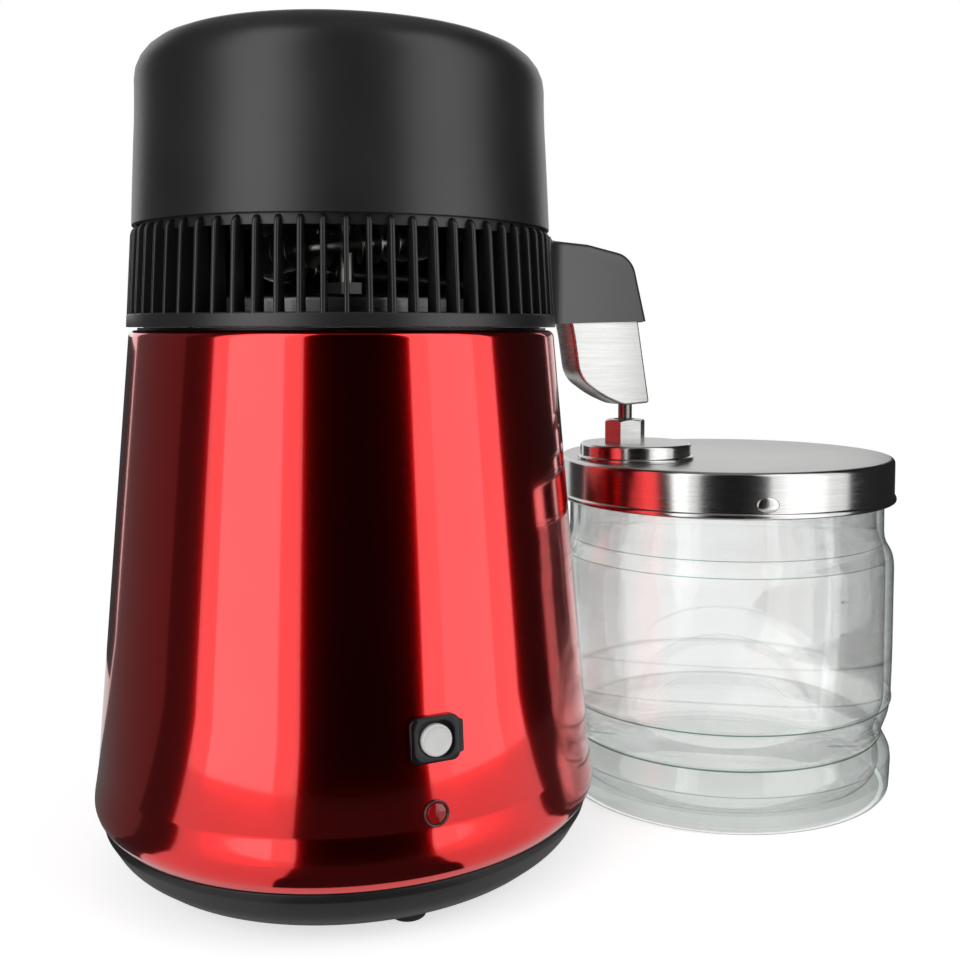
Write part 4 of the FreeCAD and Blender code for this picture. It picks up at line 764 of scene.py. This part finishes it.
makeCap()
print("cap made")


scoopLook = {
    "outline": [
        (112.2, 251.4, 0), (114.3, 243.7, 5.0), (118.0, 220.0, 6.0), (131.5, 210.7, 5.0), (144.0, 205.5, 3.0),
        (159.5, 206.5, 1.6), (152.0, 251.4, 0),
    ],
    "width": 18.4, "wall": 1.0, "edge": 1.3, "open": 251.2,
}


def makeScoop():
    look = scoopLook
    start = -look["width"] / 2 * mm
    mesh = plate(look["outline"], lambda out, up: (boilerAxis.x + out, start, up), look["width"], (0, 1, 0))
    roundOff(mesh, sideEdges(mesh), look["edge"], steps=4)
    top = [face for face in mesh.faces if face.calc_center_median().z > look["open"] * mm]
    bmesh.ops.delete(mesh, geom=top, context="FACES")
    bmesh.ops.recalc_face_normals(mesh, faces=mesh.faces[:])
    bmesh.ops.solidify(mesh, geom=mesh.faces[:], thickness=look["wall"] * mm)
    newPiece("spoutScoop", mesh, "head", ["brushedSheet"], ["spout_scoop"], sharp=40.0)


makeScoop()
print("scoop made")


jarLook = {
    "turns": 192,
    "outline": [
        (0, 1.6, 0), (80.0, 1.6, 2.0), (83.0, 0, 1.5), (89.2, 0, 2.6), (90.0, 17.0, 3.0), (89.4, 20.5, 1.5),
        (85.2, 28.6, 1.5), (84.5, 31.0, 1.2), (85.2, 33.6, 1.5), (88.6, 43.0, 2.0), (89.2, 48.4, 0.6),
        (90.0, 49.3, 0.3), (90.0, 50.4, 0.3), (89.5, 51.2, 0.6), (90.0, 70.0, 6.0), (90.0, 121.0, 2.0),
        (89.2, 126.0, 2.0), (85.4, 132.6, 2.0), (84.6, 137.0, 2.0), (84.4, 171.0, 0), (83.6, 172.4, 0.6),
        (81.2, 172.4, 0.8), (80.4, 139.0, 6.0), (85.6, 125.0, 6.0), (86.0, 46.0, 6.0), (80.8, 35.0, 4.0),
        (80.8, 29.0, 5.0), (84.4, 17.0, 4.0), (81.8, 7.5, 4.0), (0, 6.4, 0),
    ],
    "paintedSeamShade": [
        (49.5, 50.2, 88.0, 1), (29.9, 30.7, 83.0, 1), (19.1, 19.5, 87.0, 2), (125.7, 126.0, 87.5, 2),
        (133.3, 133.6, 83.5, 2),
    ],
    "tick": {
        "azimuth": -83.5, "heights": (112.0, 95.9, 79.8), "out": 89.8, "length": 8.0, "thickness": 0.9,
        "depth": 0.9, "edge": 0.2,
    },
}


def makeJar():
    mesh = turned(jarLook["outline"], jarAxis, jarLook["turns"])
    # a seam is a band of the outer wall, from low to high and beyond a radius, with a darker, greener glass
    # of its own: painted shade for the lines that the ridges show
    for low, high, radius, glass in jarLook["paintedSeamShade"]:
        for z in (low, high):
            cut(mesh, (0, 0, z * mm), (0, 0, 1))
        for face in mesh.faces:
            middle = face.calc_center_median()
            if low * mm < middle.z < high * mm and (middle - jarAxis).xy.length > radius * mm:
                face.material_index = glass
    look = jarLook["tick"]
    for height in look["heights"]:
        tick = block(look["depth"], look["length"], look["thickness"], look["edge"])
        addRound(mesh, tick, jarAxis, look["azimuth"], look["out"], height)
    newPiece("glassJar", mesh, "jar", list(glassKinds), ["glass_jar"], sharp=60.0)


makeJar()
print("jar made")


lidLook = {
    "turns": 192, "top": 176.8, "topWithin": 0.3,
    "outline": [
        (0, 175.8, 0), (88.6, 175.8, 1.4), (88.6, 154.6, 0.4), (89.3, 154.3, 0.4), (90.6, 154.3, 0.9),
        (90.6, 156.7, 1.0), (89.6, 157.2, 0.4), (89.6, 176.8, 2.4), (0, 176.8, 0),
    ],
    "dimple": {"azimuth": -111.8, "out": 89.5, "z": 161.4, "depth": 1.8, "across": 11.0, "rise": 7.5},
}


def makeLid():
    mesh = turned(lidLook["outline"], jarAxis, lidLook["turns"])
    finishTop(mesh, lidLook["top"], lidLook["topWithin"])
    look = lidLook["dimple"]
    for quarter in range(4):
        dimple = bmesh.new()
        bmesh.ops.create_uvsphere(dimple, u_segments=24, v_segments=12, radius=mm / 2)
        bmesh.ops.scale(dimple, vec=(look["depth"], look["across"], look["rise"]), verts=dimple.verts[:])
        addRound(mesh, dimple, jarAxis, look["azimuth"] + 90 * quarter, look["out"], look["z"])
    newPiece("jarLid", mesh, "lid", ["brushedBand", "brushedTop"], ["jar_lid"])


makeLid()

filterCapLook = {
    "turns": 96, "top": 185.5, "topWithin": 0.1,
    "outline": [
        (0, 181.9, 0), (26.4, 181.9, 0.5), (26.4, 176.8, 0), (30.5, 176.8, 0.3), (30.5, 178.8, 0.7),
        (29.0, 178.9, 0.4), (29.0, 185.5, 1.6), (0, 185.5, 0),
    ],
}
filterCap = turned(filterCapLook["outline"], middleOf("filter_cap"), filterCapLook["turns"])
finishTop(filterCap, filterCapLook["top"], filterCapLook["topWithin"])
newPiece("filterCap", filterCap, "lid", ["brushedBand", "brushedTop"], ["filter_cap"])

nozzleLook = {
    "flats": 18.8, "bottom": 185.5, "top": 197.9, "turn": -12.0, "crown": 9.1, "slope": 0.62, "mouth": 6.2,
    "mouthDepth": 2.2, "bore": 4.6, "stud": 7.0, "studBottom": 179.5, "turns": 96,
}


def makeNozzle():
    # a hexagon whose corners are turned down to a round crown, with a funnel mouth
    look = nozzleLook
    mesh = bmesh.new()
    for vert in bmesh.ops.create_circle(mesh, cap_ends=False, segments=look["turns"], radius=mm)["verts"]:
        angle = math.atan2(vert.co.y, vert.co.x)
        fromFlat = (angle + math.pi) % (math.pi / 3) - math.pi / 6
        radius = look["flats"] / 2 / math.cos(fromFlat)
        vert.co = Vector((math.cos(angle) * radius, math.sin(angle) * radius, look["bottom"])) * mm
    loop = mesh.edges[:]

    def lift(edges, shape):
        made = bmesh.ops.extrude_edge_only(mesh, edges=edges)["geom"]
        for vert in vertsIn(made):
            around = math.hypot(vert.co.x, vert.co.y) / mm
            radius, z = shape(around)
            vert.co = Vector((vert.co.x * radius / around, vert.co.y * radius / around, z * mm))
        return [item for item in made if isinstance(item, bmesh.types.BMEdge)]

    top = look["top"]
    edges = lift(loop, lambda around: (around, top - (around - look["crown"]) * look["slope"]))
    rings = [
        (look["crown"], top), (look["mouth"], top), (look["bore"], top - look["mouthDepth"]),
        (look["bore"], look["studBottom"]), (look["stud"], look["studBottom"]),
        (look["stud"], look["bottom"]),
    ]
    for ring in rings:
        edges = lift(edges, lambda around: ring)
    bmesh.ops.bridge_loops(mesh, edges=edges + loop)
    turn = Matrix.Rotation(math.radians(look["turn"]), 4, "Z")
    place = Matrix.Translation(middleOf("outlet_nozzle")) @ turn
    bmesh.ops.transform(mesh, matrix=place, verts=mesh.verts[:])
    newPiece("outletNozzle", mesh, "lid", ["brushedSheet"], ["outlet_nozzle"], sharp=25.0)


makeNozzle()
print("lid, filter cap and nozzle made")


keptFinishes = {
    "tie_rods": "bareSteel", "base_screws": "bareSteel", "boiling_tank": "tankSteelPaintedShade",
    "heater_plate": "rolledAluminium", "heating_element": "bareSteel", "thermostats": "innerBlackAndPaintedShade",
    "switch_body": "switchBlack", "indicator_lamp": "lampGlass", "mains_inlet": "switchBlack",
    "inlet_pins": "turnedBrass", "tank_gasket": "siliconeSeal", "steam_lid": "pressedSteelPaintedShade",
    "riser_nut": "dullSteelPaintedShade", "head_posts": "bareSteel", "ring_nuts": "bareSteel",
    "bracket_nuts": "bareSteel", "motor_bracket": "bareSteel", "cap_screws": "bareSteel",
    "motor_screws": "bareSteel", "fan_motor": "motorSteel", "condenser_coil": "coilSteelPaintedShade",
    "coil_fins": "coilSteelPaintedShade", "fan_blades": "innerBlackAndPaintedShade", "motor_shaft": "bareSteel", "fan_clip": "bareSteel",
    "lid_seal": "siliconeSeal", "filter_basket": "bareSteel", "charcoal_sachet": "sachetFleece",
    "nozzle_nut": "bareSteel",
}
for node, name in keptFinishes.items():
    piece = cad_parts[node]
    piece.data.materials.clear()
    piece.data.materials.append(finish[name])
print("packed pieces finished:", len(keptFinishes))


def seenBackground(owner):
    # 1 where the camera, a reflection or the glass looks at the background
    path = addNode(owner, "ShaderNodeLightPath").outputs
    total = path["Is Camera Ray"]
    for ray in ("Is Glossy Ray", "Is Transmission Ray"):
        total = addNode(owner, "ShaderNodeMath", {0: total, 1: path[ray]}, operation="MAXIMUM").outputs[0]
    return total


studio = {
    "floor": {
        "colour": (0.74, 0.74, 0.74), "size": 30.0, "near": 0.42, "far": 1.1,
        "glow": {"Is Camera Ray": 0.62, "Is Transmission Ray": 0.62, "Is Glossy Ray": 0.22},
    },
    "fill": 0.42,
    "lamps": {
        "left": {"azimuth": -60.0, "distance": 1.25, "width": 1.13, "height": 1.35, "z": 0.62, "power": 11.0},
        "right": {"azimuth": 38.0, "distance": 1.25, "width": 0.90, "height": 1.35, "z": 0.62, "power": 8.4},
    },
    "wall": {"radius": 0.60, "height": 1.15, "strip": 0.42, "bottom": 0.0006, "steps": 16},
    "cards": {
        "leftShade": {"from": -146.0, "to": -100.0, "level": 0.11, "strip": 0.118},
        "leftDark": {"from": -100.0, "to": -82.5, "level": 0.045, "strip": 0.118},
        "leftEdge": {"from": -82.5, "to": -74.0, "level": 1.25},
        "leftLight": {"from": -74.0, "to": -46.0, "level": 2.4},
        "leftInner": {"from": -46.0, "to": -37.0, "level": 1.3},
        "frontDark": {"from": -37.0, "to": 12.8, "level": 0.003},
        "frontFloor": {"from": -37.0, "to": 12.8, "level": 0.035, "strip": 0.118, "only": "floor"},
        "rightInner": {"from": 12.8, "to": 22.0, "level": 1.6},
        "rightLight": {"from": 22.0, "to": 47.0, "level": 2.05},
        "rightEdge": {"from": 47.0, "to": 59.5, "level": 1.35},
        "rightDark": {"from": 59.5, "to": 112.0, "level": 0.02, "throughGlass": True},
        "rightFloor": {"from": 60.0, "to": 125.0, "level": 0.05, "strip": 0.12, "only": "floor"},
        "backLow": {"from": 112.0, "to": 165.0, "level": 0.03, "height": 0.2},
        "backDark": {"from": 178.0, "to": 212.0, "level": 0.05, "height": 0.27},
    },
    "ceiling": {"radius": 1.3, "z": 1.16, "level": 0.25},
}


def stagePiece(name, mesh, material):
    piece = newObject(name, mesh, [material])
    return piece


def makeFloor():
    # a matt floor that keeps the shadow near the object and turns plain white further off
    look = studio["floor"]
    mesh = bmesh.new()
    bmesh.ops.create_grid(mesh, x_segments=1, y_segments=1, size=look["size"])
    material = newMaterial("paleFloor", bare=True)
    path = addNode(material, "ShaderNodeLightPath").outputs
    level = 0.0
    for ray, amount in look["glow"].items():
        level = addNode(material, "ShaderNodeMath", {
            0: path[ray], 1: amount, 2: level,
        }, operation="MULTIPLY_ADD").outputs[0]
    matt = addNode(material, "ShaderNodeBsdfDiffuse", {"Color": (*look["colour"], 1.0)})
    glow = addNode(material, "ShaderNodeEmission", {"Strength": level})
    near = addNode(material, "ShaderNodeAddShader", {0: matt.outputs["BSDF"], 1: glow.outputs["Emission"]})
    room = addNode(material, "ShaderNodeMapRange", {
        "Value": seenBackground(material), "To Min": studio["fill"], "To Max": 1.0,
    })
    far = addNode(material, "ShaderNodeEmission", {"Strength": room.outputs["Result"]})
    away = addNode(material, "ShaderNodeVectorMath", {0: ownPlace(material)}, operation="LENGTH")
    share = addNode(material, "ShaderNodeMapRange", {
        "Value": away.outputs["Value"], "From Min": look["near"], "From Max": look["far"],
    }, interpolation_type="SMOOTHSTEP")
    choose = addNode(material, "ShaderNodeMixShader", {
        "Fac": share.outputs["Result"], 1: near.outputs["Shader"], 2: far.outputs["Emission"],
    })
    setOutput(material, {"Surface": choose.outputs["Shader"]})
    stagePiece("floor", mesh, material)


def roundBoiler(azimuth, radius, z):
    turn = math.radians(azimuth)
    return boilerAxis + Vector((math.sin(turn) * radius, -math.cos(turn) * radius, z))


def plainGlow(name, level):
    material = newMaterial(name, bare=True)
    glow = addNode(material, "ShaderNodeEmission", {"Strength": level})
    setOutput(material, {"Surface": glow.outputs["Emission"]})
    return material


def onlyReflected(piece, throughGlass=False):
    piece.visible_camera = False
    piece.visible_diffuse = False
    piece.visible_transmission = throughGlass
    piece.visible_volume_scatter = False
    piece.visible_shadow = False


def makeCard(name, card):
    # one curved card of the wall that only reflections see, with its strip of floor
    look = {**studio["wall"], **card}
    low = look["bottom"]
    spots = [(look["strip"], low), (look["radius"], low), (look["radius"], look["height"])]
    if card.get("only") == "floor":
        spots = [(look["strip"], low), (studio["wall"]["strip"], low)]
    mesh = bmesh.new()
    made = [mesh.verts.new(roundBoiler(card["from"], radius, z)) for radius, z in spots]
    for pair in zip(made, made[1:]):
        mesh.edges.new(pair)
    bmesh.ops.spin(
        mesh, geom=mesh.verts[:] + mesh.edges[:], cent=boilerAxis, axis=(0, 0, 1), dvec=(0, 0, 0),
        angle=math.radians(card["to"] - card["from"]), steps=look["steps"], use_merge=False,
        use_duplicate=False,
    )
    piece = stagePiece(name, mesh, plainGlow(name + "Glow", card["level"]))
    onlyReflected(piece, card.get("throughGlass", False))


def makeCeiling():
    look = studio["ceiling"]
    mesh = bmesh.new()
    bmesh.ops.create_circle(mesh, cap_ends=True, segments=48, radius=look["radius"])
    bmesh.ops.translate(mesh, vec=boilerAxis + Vector((0, 0, look["z"])), verts=mesh.verts[:])
    onlyReflected(stagePiece("ceiling", mesh, plainGlow("ceilingGlow", look["level"])))


def makeLamp(name, lamp):
    light = bpy.data.lights.new(name, "AREA")
    light.shape = "RECTANGLE"
    light.size = lamp["width"]
    light.size_y = lamp["height"]
    light.energy = lamp["power"]
    piece = bpy.data.objects.new(name, light)
    bpy.context.scene.collection.objects.link(piece)
    piece.location = roundBoiler(lamp["azimuth"], lamp["distance"], lamp["z"])
    aim = boilerAxis + Vector((0, 0, lamp["z"])) - piece.location
    piece.rotation_euler = aim.to_track_quat("-Z", "Y").to_euler()
    piece.visible_glossy = False


def makeWorld():
    world = bpy.data.worlds.new("paleRoom")
    bpy.context.scene.world = world
    world.use_nodes = True
    fill = world.node_tree.nodes["Background"]
    setInputs(world, fill, {"Color": (1, 1, 1, 1), "Strength": studio["fill"]})
    white = addNode(world, "ShaderNodeBackground", {"Color": (1, 1, 1, 1), "Strength": 1.0})
    choose = addNode(world, "ShaderNodeMixShader", {
        "Fac": seenBackground(world), 1: fill.outputs["Background"], 2: white.outputs["Background"],
    })
    setInputs(world, world.node_tree.nodes["World Output"], {"Surface": choose.outputs["Shader"]})


makeFloor()
for name, card in studio["cards"].items():
    makeCard(name, card)
makeCeiling()
for name, lamp in studio["lamps"].items():
    makeLamp(name + "Lamp", lamp)
makeWorld()

cameraLook = {
    "place": (-0.2552, -0.5308, 0.2440), "azimuth": -25.71, "down": 3.87, "lens": 44.0,
    "shift": (-0.0521, -0.0730), "near": 0.01,
}


def makeCamera():
    look = cameraLook
    camera = bpy.data.objects.new("camera", bpy.data.cameras.new("camera"))
    bpy.context.scene.collection.objects.link(camera)
    camera.data.lens = look["lens"]
    camera.data.shift_x, camera.data.shift_y = look["shift"]
    camera.location = look["place"]
    turn, down = math.radians(look["azimuth"]), math.radians(look["down"])
    ahead = Vector((-math.sin(turn) * math.cos(down), math.cos(turn) * math.cos(down), -math.sin(down)))
    camera.rotation_euler = ahead.to_track_quat("-Z", "Y").to_euler()
    camera.data.clip_start = look["near"]
    bpy.context.scene.camera = camera


makeCamera()
bpy.context.scene.view_settings.view_transform = "Standard"
print("studio made")
